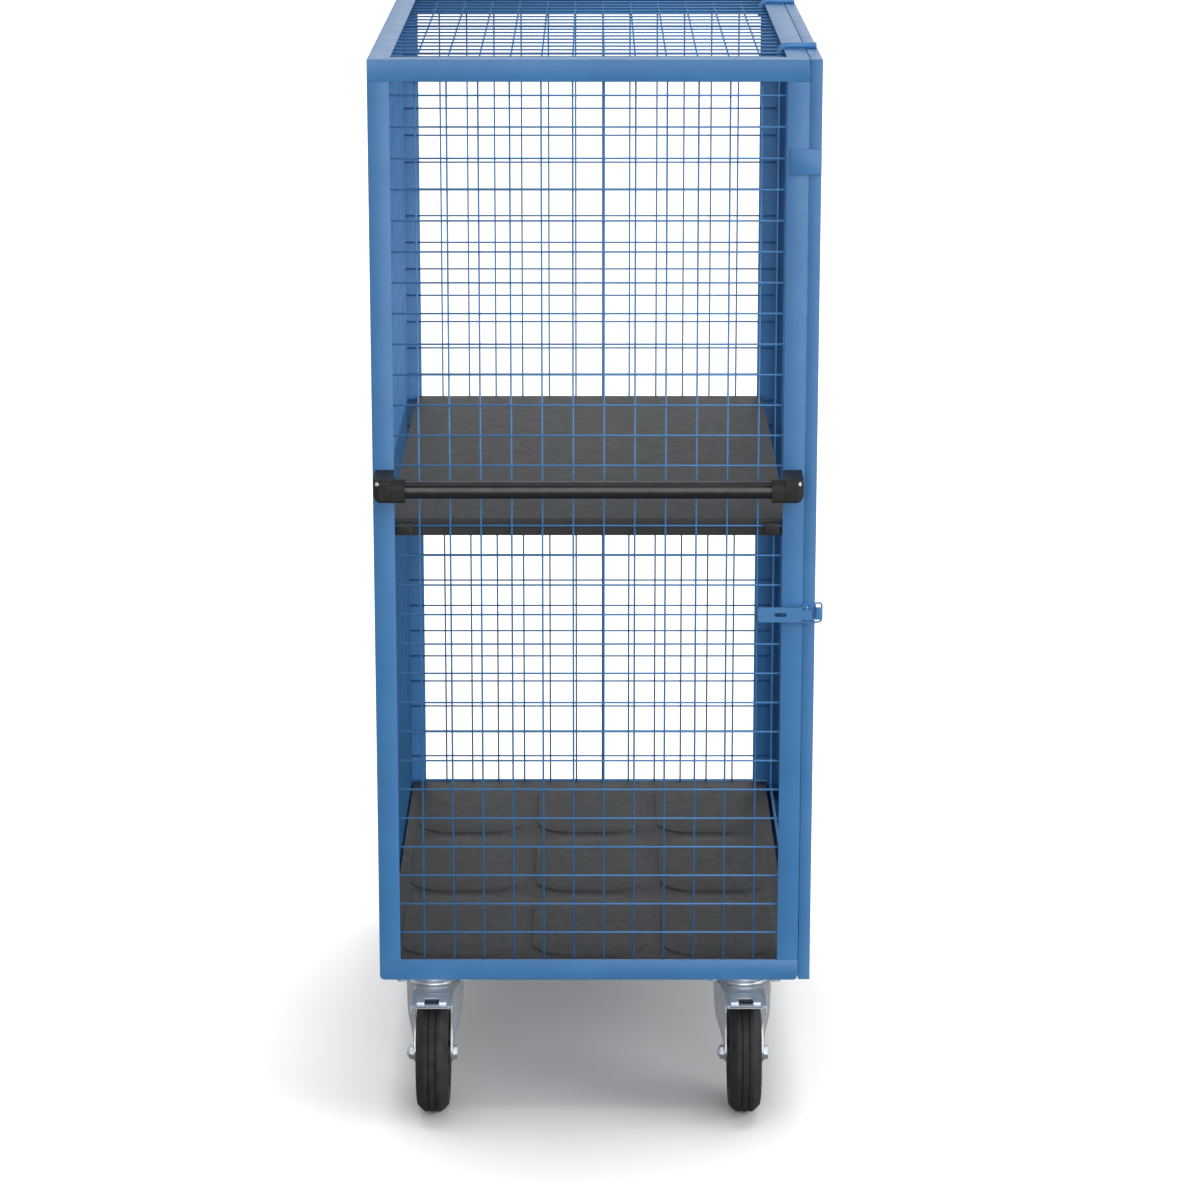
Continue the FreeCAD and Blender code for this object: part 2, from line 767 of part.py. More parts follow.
def make_fork(label, x):
    body = new_body(label)
    outer = "fork_inner + fork_wall"
    crown = outline(sketch_on(body, "XY_Plane", "crown_bottom"), [
        (f"-({outer})", "-fork_front"), (outer, "-fork_front"),
        (f"{outer} + fork_flare", "fork_back"), (f"-({outer} + fork_flare)", "fork_back")])
    pad(body, crown, "crown_wall")
    race = circle(sketch_on(body, "XY_Plane", "crown_bottom"), ("0", "0"), "crown_radius")
    pad(body, race, "crown_top - crown_bottom")
    for side in SIDES.values():
        fork_leg(body, side)
        pedal_ear(body, side)
    axle_eyes(body, "-wheel_trail", "fork_axle_inner")
    bore = circle(sketch_on(body, "XY_Plane", "crown_bottom"), ("0", "0"), "kingpin_radius + running_gap")
    pocket(body, bore)
    place(body, x, "-castor_y")


def make_fixed_bracket(label, x):
    """Rear castor bracket: a plate with two straight tapered legs."""
    body = new_body(label)
    drilled_plate(body)
    for side in SIDES.values():
        low = f"{side} * fork_axle_inner - fork_wall * (1 - {side}) / 2"
        leg = outline(sketch_on(body, "YZ_Plane", low), [
            ("-axle_eye", "wheel_radius"), ("axle_eye", "wheel_radius"),
            ("rear_leg_half", "frame_bottom - plate_wall"), ("-rear_leg_half", "frame_bottom - plate_wall")])
        pad(body, leg, "fork_wall")
    axle_eyes(body, "0", "fork_axle_inner")
    place(body, x, "castor_y")


def make_axle(label, x, y):
    """Axle bolt with its head on the right and its nut on the left."""
    outer = "(fork_axle_inner + fork_wall)"
    shank_end = f"({outer} + axle_nut_depth + axle_proud)"
    shank = rod((f"-{shank_end}", "0", "0"), "axle_radius", f"{outer} + {shank_end}", "x")
    head = hexagon((outer, "0", "0"), "axle_head", "axle_head_depth", "x")
    nut = hexagon((f"-({outer} + axle_nut_depth)", "0", "0"), "axle_head", "axle_nut_depth", "x")
    place(fused([shank, head, nut], label), x, y, "wheel_radius")


def make_castor_bolts():
    """Hexagon bolts with their heads below the plates and nuts above the flanges."""
    bolts = []
    low = "frame_bottom - plate_wall"
    for side in SIDES.values():
        for end in ("-1", "1"):
            for x, y in bolt_places():
                at = (f"{side} * castor_x + {x}", f"{end} * castor_y + {y}")
                shank = rod((*at, low), "bolt_radius", "plate_wall + base_wall + bolt_head + bolt_proud")
                head = hexagon((*at, f"{low} - bolt_head"), "bolt_across", "bolt_head")
                nut = hexagon((*at, "frame_bottom + base_wall"), "bolt_across", "bolt_head")
                bolts.append(fused([shank, head, nut]))
    place(grouped(bolts, "castor_bolts"))


def mirrored(half):
    """Closed profile from one half given as (distance from the middle, radius)."""
    return half + [(f"-({across})", radius) for across, radius in reversed(half)]


def make_tyre(label, x, y):
    """Solid tyre: flat tread with two grooves, sloping shoulders, seat on the rim."""
    right = [("rim_half", "rim_radius"), ("tyre_half", "rim_radius + (tyre_half - rim_half)"),
             ("tyre_half", "tyre_shoulder"), ("tyre_flat", "wheel_radius")]
    groove = [("tyre_groove + tyre_groove_half", "wheel_radius"),
              ("tyre_groove + tyre_groove_half / 2", "wheel_radius - tyre_groove_depth"),
              ("tyre_groove - tyre_groove_half / 2", "wheel_radius - tyre_groove_depth"),
              ("tyre_groove - tyre_groove_half", "wheel_radius")]
    body = new_body(label)
    revolve(body, outline(sketch_on(body, "XZ_Plane"), mirrored(right + groove)))
    place(body, x, y, "wheel_radius")


def make_rim(label, x, y):
    """Moulded rim: hub, web and bed."""
    half = [("hub_half", "axle_radius + running_gap"), ("hub_half", "hub_radius"),
            ("web_half + hub_bevel", "hub_radius + hub_bevel"), ("web_half", "hub_radius + hub_foot"),
            ("web_half", "rim_inner - rim_bevel"), ("rim_half", "rim_inner"), ("rim_half", "rim_radius")]
    body = new_body(label)
    revolve(body, outline(sketch_on(body, "XZ_Plane"), mirrored(half)))
    place(body, x, y, "wheel_radius")


def make_pedal(label, x):
    """Pressed brake pedal: a hood with side flanges, a lip and a tread notched at its front."""
    body = new_body(label)
    top = "pedal_bottom + pedal_wall"
    lip = "(2 * pedal_wall)"
    ear_low = "pedal_pivot_z - pedal_ear"
    hood = outline(sketch_on(body, "XY_Plane", "pedal_bottom"), [
        ("-pedal_half", "-pedal_back"), ("-pedal_half", f"-(pedal_front - {lip})"),
        (f"-(pedal_half - {lip})", "-pedal_front"), (f"pedal_half - {lip}", "-pedal_front"),
        ("pedal_half", f"-(pedal_front - {lip})"), ("pedal_half", "-pedal_back")])
    pad(body, hood, "pedal_wall")
    for side in SIDES.values():
        low = f"{side} * (pedal_half - pedal_flange) - pedal_flange * (1 - {side}) / 2"
        flange = outline(sketch_on(body, "YZ_Plane", low), [
            (f"-(pedal_front - 2 * {lip})", top), (f"-(pedal_front - 2 * {lip})", "pedal_pivot_z"),
            ("-(pedal_pivot_y + 2 * pedal_ear)", ear_low), ("-pedal_pivot_y", ear_low),
            ("-(pedal_pivot_y - pedal_ear)", "pedal_pivot_z"), ("-(pedal_pivot_y - pedal_ear)", top)])
        pad(body, flange, "pedal_flange")
    front = rectangle(sketch_on(body, "XZ_Plane", "pedal_front - pedal_wall"),
                      (f"-(pedal_half - {lip})", "pedal_lip_low"), (f"pedal_half - {lip}", top))
    pad(body, front, "pedal_wall")
    tread = rectangle(sketch_on(body, "XY_Plane", top),
                      ("-tread_half", "-tread_front"), ("tread_half", "-tread_back"))
    pad(body, tread, "tread_rise")
    slot = rectangle(sketch_on(body, "XY_Plane", f"{top} + tread_rise"),
                     ("-tread_slot_half", "-tread_front"), ("tread_slot_half", "-tread_slot_back"))
    pocket(body, slot, "tread_rise + 1")
    pivot = ("-pedal_pivot_y", "pedal_pivot_z")
    pocket(body, circle(sketch_on(body, "YZ_Plane"), pivot, "pedal_rivet + running_gap"))
    place(body, x, "-castor_y")


def make_castors():
    for word, side in SIDES.items():
        x = f"{side} * castor_x"
        front_axle_y = "-(castor_y + wheel_trail)"
        make_castor_plate(f"castor_plate_front_{word}", x)
        make_fork(f"fork_front_{word}", x)
        make_pedal(f"brake_pedal_{word}", x)
        make_axle(f"axle_front_{word}", x, front_axle_y)
        make_tyre(f"tyre_front_{word}", x, front_axle_y)
        make_rim(f"rim_front_{word}", x, front_axle_y)
        make_fixed_bracket(f"castor_bracket_rear_{word}", x)
        make_axle(f"axle_rear_{word}", x, "castor_y")
        make_tyre(f"tyre_rear_{word}", x, "castor_y")
        make_rim(f"rim_rear_{word}", x, "castor_y")
    make_castor_bolts()


# ---------------------------------------------------------------- lift-off gate

def make_gate_stile(label, end):
    """Angle with one leg across the gate's end and one on its outer face."""
    body = new_body(label)
    profile = outline(sketch_on(body, "XY_Plane", "gate_bottom + angle_wall"), [
        ("gate_inner", f"{end} * gate_half"), ("gate_outer", f"{end} * gate_half"),
        ("gate_outer", f"{end} * (gate_half - gate_leg)"),
        ("gate_outer - angle_wall", f"{end} * (gate_half - gate_leg)"),
        ("gate_outer - angle_wall", f"{end} * (gate_half - angle_wall)"),
        ("gate_inner", f"{end} * (gate_half - angle_wall)")])
    pad(body, profile, "gate_top - gate_bottom - 2 * angle_wall")
    place(body)


def make_gate_rail(label, flange_low, leg_low):
    """Angle with a full-length flange over the stiles and a leg between them."""
    flange = block(("gate_inner", "-gate_half", flange_low),
                   ("gate_outer - gate_inner", "2 * gate_half", "angle_wall"))
    leg = block(("gate_outer - angle_wall", "-(gate_half - gate_leg)", leg_low),
                ("angle_wall", "2 * (gate_half - gate_leg)", "gate_leg - angle_wall"))
    place(fused([flange, leg], label))


def make_gate_mesh(sheet):
    heights = steps(sheet.lowest_wire, sheet.highest_wire, sheet.wire_pitch)
    reach = sheet.cage_length / 2 - sheet.wire_pitch / 2
    columns = steps(-reach, reach, sheet.wire_pitch)
    origin = FreeCAD.Vector(sheet.gate_outer - sheet.angle_wall - sheet.wire_radius, 0, 0)
    ends = (sheet.gate_bottom + sheet.angle_wall, sheet.gate_top - sheet.angle_wall)
    make_mesh("gate_mesh", sheet, origin, FreeCAD.Vector(0, -1, 0), UP,
              (heights, -sheet.gate_wire_half, sheet.gate_wire_half), (columns, *ends))


def make_gate_hook(label, y):
    """Round bar that lies over the top rail and turns down behind it."""
    height = "(gate_top + gate_hook_radius)"
    bend_x = "(gate_hook_inner + gate_hook_bend)"
    quarter = FreeCAD.Rotation(ALONG_X, 90) * FreeCAD.Rotation(UP, 90)
    straight = rod((bend_x, y, height), "gate_hook_radius", f"gate_hook_outer - {bend_x}", "x")
    bend_z = f"({height} - gate_hook_bend)"
    corner = bend((bend_x, y, bend_z), "gate_hook_bend", "gate_hook_radius", 90, quarter)
    tail = rod(("gate_hook_inner", y, "gate_hook_low"), "gate_hook_radius", f"{bend_z} - gate_hook_low")
    place(fused([straight, corner, tail], label))


def make_guide_plates():
    """Plates on the gate's two ends that lap over the corner posts."""
    size = ("gate_outer - guide_inner", "guide_wall", "guide_height")
    plates = [block(("guide_inner", low, "guide_bottom"), size)
              for low in ("-(gate_half + guide_wall)", "gate_half")]
    place(grouped(plates, "gate_guide_plates"))


def make_catch():
    """Latch catch: a strip on the gate's outer face with a lip turned outward."""
    low, tall = "latch_height - catch_half", "2 * catch_half"
    strip = block(("gate_outer", "-catch_front", low), ("latch_wall", "catch_front - catch_back", tall))
    lip = block(("gate_outer", "-catch_front", low), ("catch_lip", "latch_wall", tall))
    place(fused([strip, lip], "latch_catch"))


def make_gate(sheet):
    make_gate_stile("gate_stile_front", "-1")
    make_gate_stile("gate_stile_rear", "1")
    make_gate_rail("gate_rail_top", "gate_top - angle_wall", "gate_top - gate_leg")
    make_gate_rail("gate_rail_bottom", "gate_bottom", "gate_bottom + angle_wall")
    make_gate_mesh(sheet)
    make_gate_hook("gate_hook_front", "-gate_hook_y")
    make_gate_hook("gate_hook_rear", "gate_hook_y")
    make_guide_plates()
    make_catch()


# ---------------------------------------------------------------- toggle latch

def make_latch_base():
    """Plate on the post with two ears that reach past its edge and hold the lever's pin."""
    plate_back = "cage_length / 2"
    pieces = [block(("latch_base_inner", f"-({plate_back} + latch_wall)", "latch_height - latch_base_half"),
                    ("cage_width / 2 - latch_base_inner", "latch_wall", "2 * latch_base_half"))]
    for side in SIDES.values():
        low = f"latch_height + {side} * (ear_high - latch_wall) - latch_wall * (1 - {side}) / 2"
        pieces.append(block(("ear_root", "-latch_y", low),
                            ("cage_width / 2 - ear_root", f"latch_y - {plate_back}", "latch_wall")))
        pieces.append(block(("ear_root", "-latch_y", low),
                            ("latch_x - ear_root", "ear_radius", "latch_wall")))
        pieces.append(rod(("latch_x", "-latch_y", low), "ear_radius", "latch_wall"))
    pin_hole = rod(("latch_x", "-latch_y", "latch_height - ear_high"), "latch_pin_radius", "2 * ear_high")
    place(trimmed(fused(pieces), pin_hole, "latch_base"))


def make_latch_pin():
    pin = rod(("0", "0", "0"), "latch_pin_radius", "2 * (lever_half + latch_pin_proud)")
    pin.Label = "latch_pin"
    place(pin, "latch_x", "-latch_y", "latch_height - lever_half - latch_pin_proud")


def make_lever():
    """Channel lever: a slotted face and two cheeks that carry the pin and the loop."""
    body = new_body("latch_lever")
    face = rectangle(sketch_on(body, "XZ_Plane", "lever_face - latch_wall"),
                     ("-lever_length", "-lever_half"), ("-lever_start", "lever_half"))
    pad(body, face, "latch_wall")
    slot_ends = ("-(slot_start + slot_length - slot_half)", "-(slot_start + slot_half)")
    slot = rectangle(sketch_on(body, "XZ_Plane"), (slot_ends[0], "-slot_half"), (slot_ends[1], "slot_half"))
    pocket(body, slot)
    for centre in slot_ends:
        pocket(body, circle(sketch_on(body, "XZ_Plane"), (centre, "0"), "slot_half"))
    for side in SIDES.values():
        low = f"{side} * (lever_half - lever_cheek) - lever_cheek * (1 - {side}) / 2"
        cheek = outline(sketch_on(body, "XY_Plane", low), [
            ("-lever_cheek_end", "-lever_face"), ("-lever_start", "-lever_face"), ("0", "-lever_eye"),
            ("0", "lever_eye"), ("-(loop_offset + loop_wire)", "lever_eye"),
            ("-lever_cheek_end", "latch_wall - lever_face")])
        pad(body, cheek, "lever_cheek")
        pad(body, circle(sketch_on(body, "XY_Plane", low), ("0", "0"), "lever_eye"), "lever_cheek")
    pocket(body, circle(sketch_on(body, "XY_Plane"), ("0", "0"), "latch_pin_radius + running_gap"))
    pocket(body, circle(sketch_on(body, "XY_Plane"), ("-loop_offset", "0"), "loop_wire + running_gap"))
    place(body, "latch_x", "-latch_y", "latch_height")


def make_loop():
    """Wire loop: two side wires from the lever's cheeks that curl round behind the catch's lip."""
    start_x = "(latch_x - loop_offset)"
    pieces = []
    half_turn = FreeCAD.Rotation(UP, -90)
    for side in SIDES.values():
        level = f"latch_height + {side} * loop_half"
        pieces.append(rod((start_x, "-latch_y", level), "loop_wire", f"loop_bend_x - {start_x}", "x"))
        pieces.append(ball((start_x, "-latch_y", level), "loop_wire"))
        bend_middle = ("loop_bend_x", "-(latch_y - loop_bend)", level)
        pieces.append(bend(bend_middle, "loop_bend", "loop_wire", 180, half_turn))
        pieces.append(ball(("loop_bend_x", "-(latch_y - 2 * loop_bend)", level), "loop_wire"))
        inward = "(loop_half - ear_high - loop_end_gap)"
        low = f"latch_height + {side} * (loop_half - {inward}) - {inward} * (1 - {side}) / 2"
        pieces.append(rod((start_x, "-latch_y", low), "loop_wire", inward))
    pieces.append(rod(("loop_bend_x", "-(latch_y - 2 * loop_bend)", "latch_height - loop_half"),
                      "loop_wire", "2 * loop_half"))
    place(fused(pieces, "latch_loop"))


def make_latch():
    make_latch_base()
    make_latch_pin()
    make_lever()
    make_loop()


# ---------------------------------------------------------------- build, test and write

def check_document():
    for thing in doc.Objects:
        if "Invalid" in thing.State or "Error" in thing.State:
            raise RuntimeError(f"{thing.Label} failed: {thing.State}")
    for part in kept:
        if part.Shape.isNull() or not part.Shape.isValid() or part.Shape.Volume <= 0:
            raise RuntimeError(f"{part.Label} has no valid shape")


def write_parts():
    os.makedirs("parts", exist_ok=True)
    whole = FreeCAD.BoundBox()
    for part in kept:
        part.Shape.exportStep(f"parts/{part.Label}.step")
        whole.add(part.Shape.BoundBox)
        print(f"{part.Label:28s} solids {len(part.Shape.Solids):3d}  volume {part.Shape.Volume:12.1f}")
    print("parts", len(kept), "bounds", whole)


def main():
    sheet = make_sheet()
    make_frame()
    make_cage_meshes(sheet)
    make_deck()
    make_bearers()
    make_handle()
    make_castors()
    make_shelf_tray()
    make_shelf_hooks()
    make_gate(sheet)
    make_latch()
    doc.recompute()
    check_document()
    write_parts()


main()
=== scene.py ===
import json
import math

import bmesh
import bpy
from mathutils import Matrix, Vector

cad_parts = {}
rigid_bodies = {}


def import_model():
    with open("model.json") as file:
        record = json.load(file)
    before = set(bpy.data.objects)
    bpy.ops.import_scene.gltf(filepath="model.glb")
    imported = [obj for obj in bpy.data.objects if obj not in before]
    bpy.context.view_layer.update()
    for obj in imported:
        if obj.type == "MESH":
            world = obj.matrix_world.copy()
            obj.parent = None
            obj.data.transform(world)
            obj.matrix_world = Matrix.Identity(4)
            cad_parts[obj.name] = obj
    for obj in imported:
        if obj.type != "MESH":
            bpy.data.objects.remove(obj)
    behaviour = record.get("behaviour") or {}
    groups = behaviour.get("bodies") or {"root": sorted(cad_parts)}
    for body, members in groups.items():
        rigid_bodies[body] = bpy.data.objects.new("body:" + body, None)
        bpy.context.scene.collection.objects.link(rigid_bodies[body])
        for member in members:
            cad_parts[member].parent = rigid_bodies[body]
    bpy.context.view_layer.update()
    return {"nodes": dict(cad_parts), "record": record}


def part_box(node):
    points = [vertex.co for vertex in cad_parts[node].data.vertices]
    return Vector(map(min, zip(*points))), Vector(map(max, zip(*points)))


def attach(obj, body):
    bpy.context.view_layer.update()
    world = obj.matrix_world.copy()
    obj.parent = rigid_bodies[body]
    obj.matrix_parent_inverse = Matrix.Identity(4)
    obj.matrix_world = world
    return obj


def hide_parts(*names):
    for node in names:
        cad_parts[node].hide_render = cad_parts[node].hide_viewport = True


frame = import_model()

MM = 0.001
NODES = frame["nodes"]
RECORD = frame["record"]
SLOT_OF = {row["node"]: row["material_slot"] for row in RECORD["subparts"]}
SIDES = {"left": -1, "right": 1}
WHEELS = [f"{end}_{side}" for end in ("front", "rear") for side in SIDES]


# ---------------------------------------------------------------- materials

def linear(red, green, blue):
    """Scene-linear colour from one given in 0-255 display values."""
    def channel(value):
        value /= 255
        return value / 12.92 if value <= 0.04045 else ((value + 0.055) / 1.055) ** 2.4
    return (channel(red), channel(green), channel(blue), 1)


class Finish:
    """A Principled material whose colour, roughness and bump come from noise or cells in object space."""

    def __init__(self, name, metallic=0.0, specular=0.5, coat=0.0):
        self.material = bpy.data.materials.new(name)
        self.material.use_nodes = True
        self.tree = self.material.node_tree
        self.shader = self.tree.nodes["Principled BSDF"]
        self.shader.inputs["Metallic"].default_value = metallic
        self.shader.inputs["Specular IOR Level"].default_value = specular
        self.shader.inputs["Coat Weight"].default_value = coat
        self.shader.inputs["Coat Roughness"].default_value = 0.3
        self.place = self.tree.nodes.new("ShaderNodeTexCoord").outputs["Object"]

    def link(self, output, target):
        self.tree.links.new(output, target)

    def noise(self, scale, detail, stretch=(1, 1, 1)):
        mapping = self.tree.nodes.new("ShaderNodeMapping")
        mapping.inputs["Scale"].default_value = stretch
        texture = self.tree.nodes.new("ShaderNodeTexNoise")
        texture.inputs["Scale"].default_value = scale
        texture.inputs["Detail"].default_value = detail
        texture.inputs["Roughness"].default_value = 0.55
        self.link(self.place, mapping.inputs["Vector"])
        self.link(mapping.outputs["Vector"], texture.inputs["Vector"])
        return texture.outputs["Fac"]

    def cells(self, scale):
        texture = self.tree.nodes.new("ShaderNodeTexVoronoi")
        texture.inputs["Scale"].default_value = scale
        self.link(self.place, texture.inputs["Vector"])
        return texture.outputs["Distance"]

    def colour(self, value, low, high):
        ramp = self.tree.nodes.new("ShaderNodeValToRGB")
        for element, position, colour in zip(ramp.color_ramp.elements, (0.35, 0.65), (low, high)):
            element.position = position
            element.color = colour
        self.link(value, ramp.inputs["Fac"])
        self.link(ramp.outputs["Color"], self.shader.inputs["Base Color"])

    def roughness(self, value, low, high):
        span = self.tree.nodes.new("ShaderNodeMapRange")
        span.inputs["From Min"].default_value = 0.3
        span.inputs["From Max"].default_value = 0.7
        span.inputs["To Min"].default_value = low
        span.inputs["To Max"].default_value = high
        self.link(value, span.inputs["Value"])
        self.link(span.outputs["Result"], self.shader.inputs["Roughness"])

    def bump(self, height, distance, strength):
        bump = self.tree.nodes.new("ShaderNodeBump")
        bump.inputs["Distance"].default_value = distance
        bump.inputs["Strength"].default_value = strength
        self.link(height, bump.inputs["Height"])
        self.link(bump.outputs["Normal"], self.shader.inputs["Normal"])


def powder_coat(name, dark, light, rough=(0.34, 0.46), coat=0.12):
    """Powder coat: faint cloudiness in the colour and a fine orange peel."""
    finish = Finish(name, coat=coat)
    finish.colour(finish.noise(9, 3), dark, light)
    finish.roughness(finish.noise(60, 3), *rough)
    finish.bump(finish.noise(420, 2), 0.00012, 0.5)
    return finish.material


def moulded(name, dark, light, rough=(0.5, 0.65), grain=900, depth=0.00012):
    """Moulded plastic, rubber or film: fine cellular grain over a nearly even colour."""
    finish = Finish(name, specular=0.4)
    finish.colour(finish.noise(40, 5), dark, light)
    finish.roughness(finish.noise(120, 3), *rough)
    finish.bump(finish.cells(grain), depth, 0.6)
    return finish.material


def plated(name, dark, light, rough=(0.3, 0.42), stretch=(1, 1, 1)):
    """Zinc plate, bright steel or anodising: soft clouding and a fine grain that stretch turns into lines."""
    finish = Finish(name, metallic=0.8)
    finish.colour(finish.noise(55, 3), dark, light)
    finish.roughness(finish.noise(90, 3, stretch), *rough)
    finish.bump(finish.noise(350, 2, stretch), 0.00003, 0.4)
    return finish.material


MATERIALS = {
    "blue_paint": powder_coat("blue_powder_coat", linear(64, 125, 183), linear(69, 132, 190)),
    "deck_board": moulded("deck_film", linear(53, 53, 54), linear(61, 61, 62),
                          rough=(0.55, 0.7), grain=700),
    "shelf_paint": powder_coat("anthracite_powder_coat", linear(55, 55, 56), linear(59, 59, 60),
                               rough=(0.6, 0.72), coat=0.0),
    "hook_black": powder_coat("black_powder_coat", linear(34, 34, 35), linear(42, 42, 43),
                              rough=(0.4, 0.55), coat=0.0),
    "bar_anodised": plated("black_anodised", linear(70, 70, 71), linear(78, 78, 79),
                           rough=(0.32, 0.44), stretch=(1, 30, 30)),
    "black_plastic": moulded("black_moulded_plastic", linear(28, 28, 28), linear(34, 34, 34),
                             rough=(0.5, 0.62)),
    "screw_steel": plated("bright_steel", linear(205, 207, 210), linear(228, 230, 233), rough=(0.18, 0.3)),
    "zinc": plated("zinc_plate", linear(214, 221, 229), linear(228, 234, 240)),
    "tyre_rubber": moulded("tyre_rubber", linear(36, 36, 37), linear(50, 50, 51),
                           rough=(0.65, 0.85), grain=500, depth=0.0002),
    "rim_plastic": moulded("rim_plastic", linear(30, 30, 31), linear(40, 40, 41), rough=(0.4, 0.55)),
}


# ---------------------------------------------------------------- mesh tools

def piece(name, mesh, slot, body, replaced=(), bevel=0.0, smooth=40, segments=2):
    """Wrap a bmesh as a finished piece: object, material, edge softening, body and slot."""
    bmesh.ops.remove_doubles(mesh, verts=mesh.verts, dist=1e-6)
    bmesh.ops.recalc_face_normals(mesh, faces=mesh.faces)
    data = bpy.data.meshes.new(name)
    mesh.to_mesh(data)
    mesh.free()
    for polygon in data.polygons:
        polygon.use_smooth = True
    made = bpy.data.objects.new(name, data)
    bpy.context.scene.collection.objects.link(made)
    data.materials.append(MATERIALS[slot])
    if bevel:
        edge = made.modifiers.new("bevel", "BEVEL")
        edge.width = bevel
        edge.segments = segments
        edge.limit_method = "ANGLE"
        edge.angle_limit = math.radians(smooth)
        edge.harden_normals = True
    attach(made, body)
    if replaced:
        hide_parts(*replaced)


def joined(*meshes):
    """One bmesh holding all the given ones."""
    whole = bmesh.new()
    for mesh in meshes:
        scratch = bpy.data.meshes.new("scratch")
        mesh.to_mesh(scratch)
        whole.from_mesh(scratch)
        bpy.data.meshes.remove(scratch)
        mesh.free()
    return whole


def moved(mesh, place, turn=None):
    """Turn a bmesh about the origin, then move it."""
    matrix = Matrix.Translation(place)
    if turn is not None:
        matrix = matrix @ turn.to_4x4()
    bmesh.ops.transform(mesh, matrix=matrix, verts=mesh.verts)
    return mesh


def turned(axis, degrees):
    return Matrix.Rotation(math.radians(degrees), 3, axis)


def lathe(profile, steps=96):
    """Turn a closed profile of (distance along X, radius) about the X axis."""
    mesh = bmesh.new()
    rings = []
    for step in range(steps):
        angle = 2 * math.pi * step / steps
        rings.append([mesh.verts.new((x, radius * math.cos(angle), radius * math.sin(angle)))
                      for x, radius in profile])
    for step in range(steps):
        here, there = rings[step], rings[(step + 1) % steps]
        for at in range(len(profile)):
            after = (at + 1) % len(profile)
            mesh.faces.new((here[at], here[after], there[after], there[at]))
    bmesh.ops.remove_doubles(mesh, verts=mesh.verts, dist=1e-7)
    return mesh


def mirrored(profile):
    """Closed profile from its half at positive distances."""
    return profile + [(-x, radius) for x, radius in reversed(profile)]


def rounded(corners, radii, steps=5):
    """Round the corners of a closed 2-D outline."""
    points = []
    count = len(corners)
    for at, corner in enumerate(corners):
        corner = Vector(corner)
        radius = radii[at] if isinstance(radii, (list, tuple)) else radii
        if radius <= 0:
            points.append(corner)
            continue
        back = (Vector(corners[at - 1]) - corner).normalized()
        ahead = (Vector(corners[(at + 1) % count]) - corner).normalized()
        half = back.angle(ahead) / 2
        reach = radius / math.tan(half)
        middle = corner + (back + ahead).normalized() * radius / math.sin(half)
        start = corner + back * reach - middle
        sweep = math.pi - 2 * half
        if back.cross(ahead) > 0:
            sweep = -sweep
        for step in range(steps + 1):
            angle = sweep * step / steps
            cos, sin = math.cos(angle), math.sin(angle)
            points.append(middle + Vector((start.x * cos - start.y * sin, start.x * sin + start.y * cos)))
    return points


def prism(outline, low, high, axis="z"):
    """Extrude a closed 2-D outline between two heights along an axis."""
    mesh = bmesh.new()
    spread = {"x": lambda a, b, along: (along, a, b),
              "z": lambda a, b, along: (a, b, along)}[axis]
    bottom = [mesh.verts.new(spread(point[0], point[1], low)) for point in outline]
    top = [mesh.verts.new(spread(point[0], point[1], high)) for point in outline]
    mesh.faces.new(bottom)
    mesh.faces.new(top)
    for at in range(len(outline)):
        after = (at + 1) % len(outline)
        mesh.faces.new((bottom[at], bottom[after], top[after], top[at]))
    return mesh


def shell(rows, thickness):
    """Closed sheet of even thickness whose middle surface runs through rows of points."""
    mesh = bmesh.new()
    count, width = len(rows), len(rows[0])

    def normal(row, column):
        down = Vector(rows[min(row + 1, count - 1)][column]) - Vector(rows[max(row - 1, 0)][column])
        across = Vector(rows[row][min(column + 1, width - 1)]) - Vector(rows[row][max(column - 1, 0)])
        return down.cross(across).normalized()

    sides = []
    for sign in (-0.5, 0.5):
        sides.append([[mesh.verts.new(Vector(rows[row][column]) + normal(row, column) * sign * thickness)
                       for column in range(width)] for row in range(count)])
    for layer in sides:
        for row in range(count - 1):
            for column in range(width - 1):
                mesh.faces.new((layer[row][column], layer[row][column + 1],
                                layer[row + 1][column + 1], layer[row + 1][column]))
    near, far = sides
    for row in range(count - 1):
        for column in (0, width - 1):
            mesh.faces.new((near[row][column], near[row + 1][column], far[row + 1][column], far[row][column]))
    for column in range(width - 1):
        for row in (0, count - 1):
            mesh.faces.new((near[row][column], near[row][column + 1], far[row][column + 1], far[row][column]))
    return mesh


def bent_path(points, corner, steps=8):
    """Points along straight runs whose corners are bent to a radius."""
    path = [Vector(points[0])]
    for at in range(1, len(points) - 1):
        here = Vector(points[at])
        back = (Vector(points[at - 1]) - here).normalized()
        ahead = (Vector(points[at + 1]) - here).normalized()
        half = back.angle(ahead) / 2
        start, end = here + back * corner / math.tan(half), here + ahead * corner / math.tan(half)
        middle = here + (back + ahead).normalized() * corner / math.sin(half)
        for step in range(steps + 1):
            toward = (start - middle).normalized().slerp((end - middle).normalized(), step / steps)
            path.append(middle + toward.normalized() * corner)
    path.append(Vector(points[-1]))
    return path


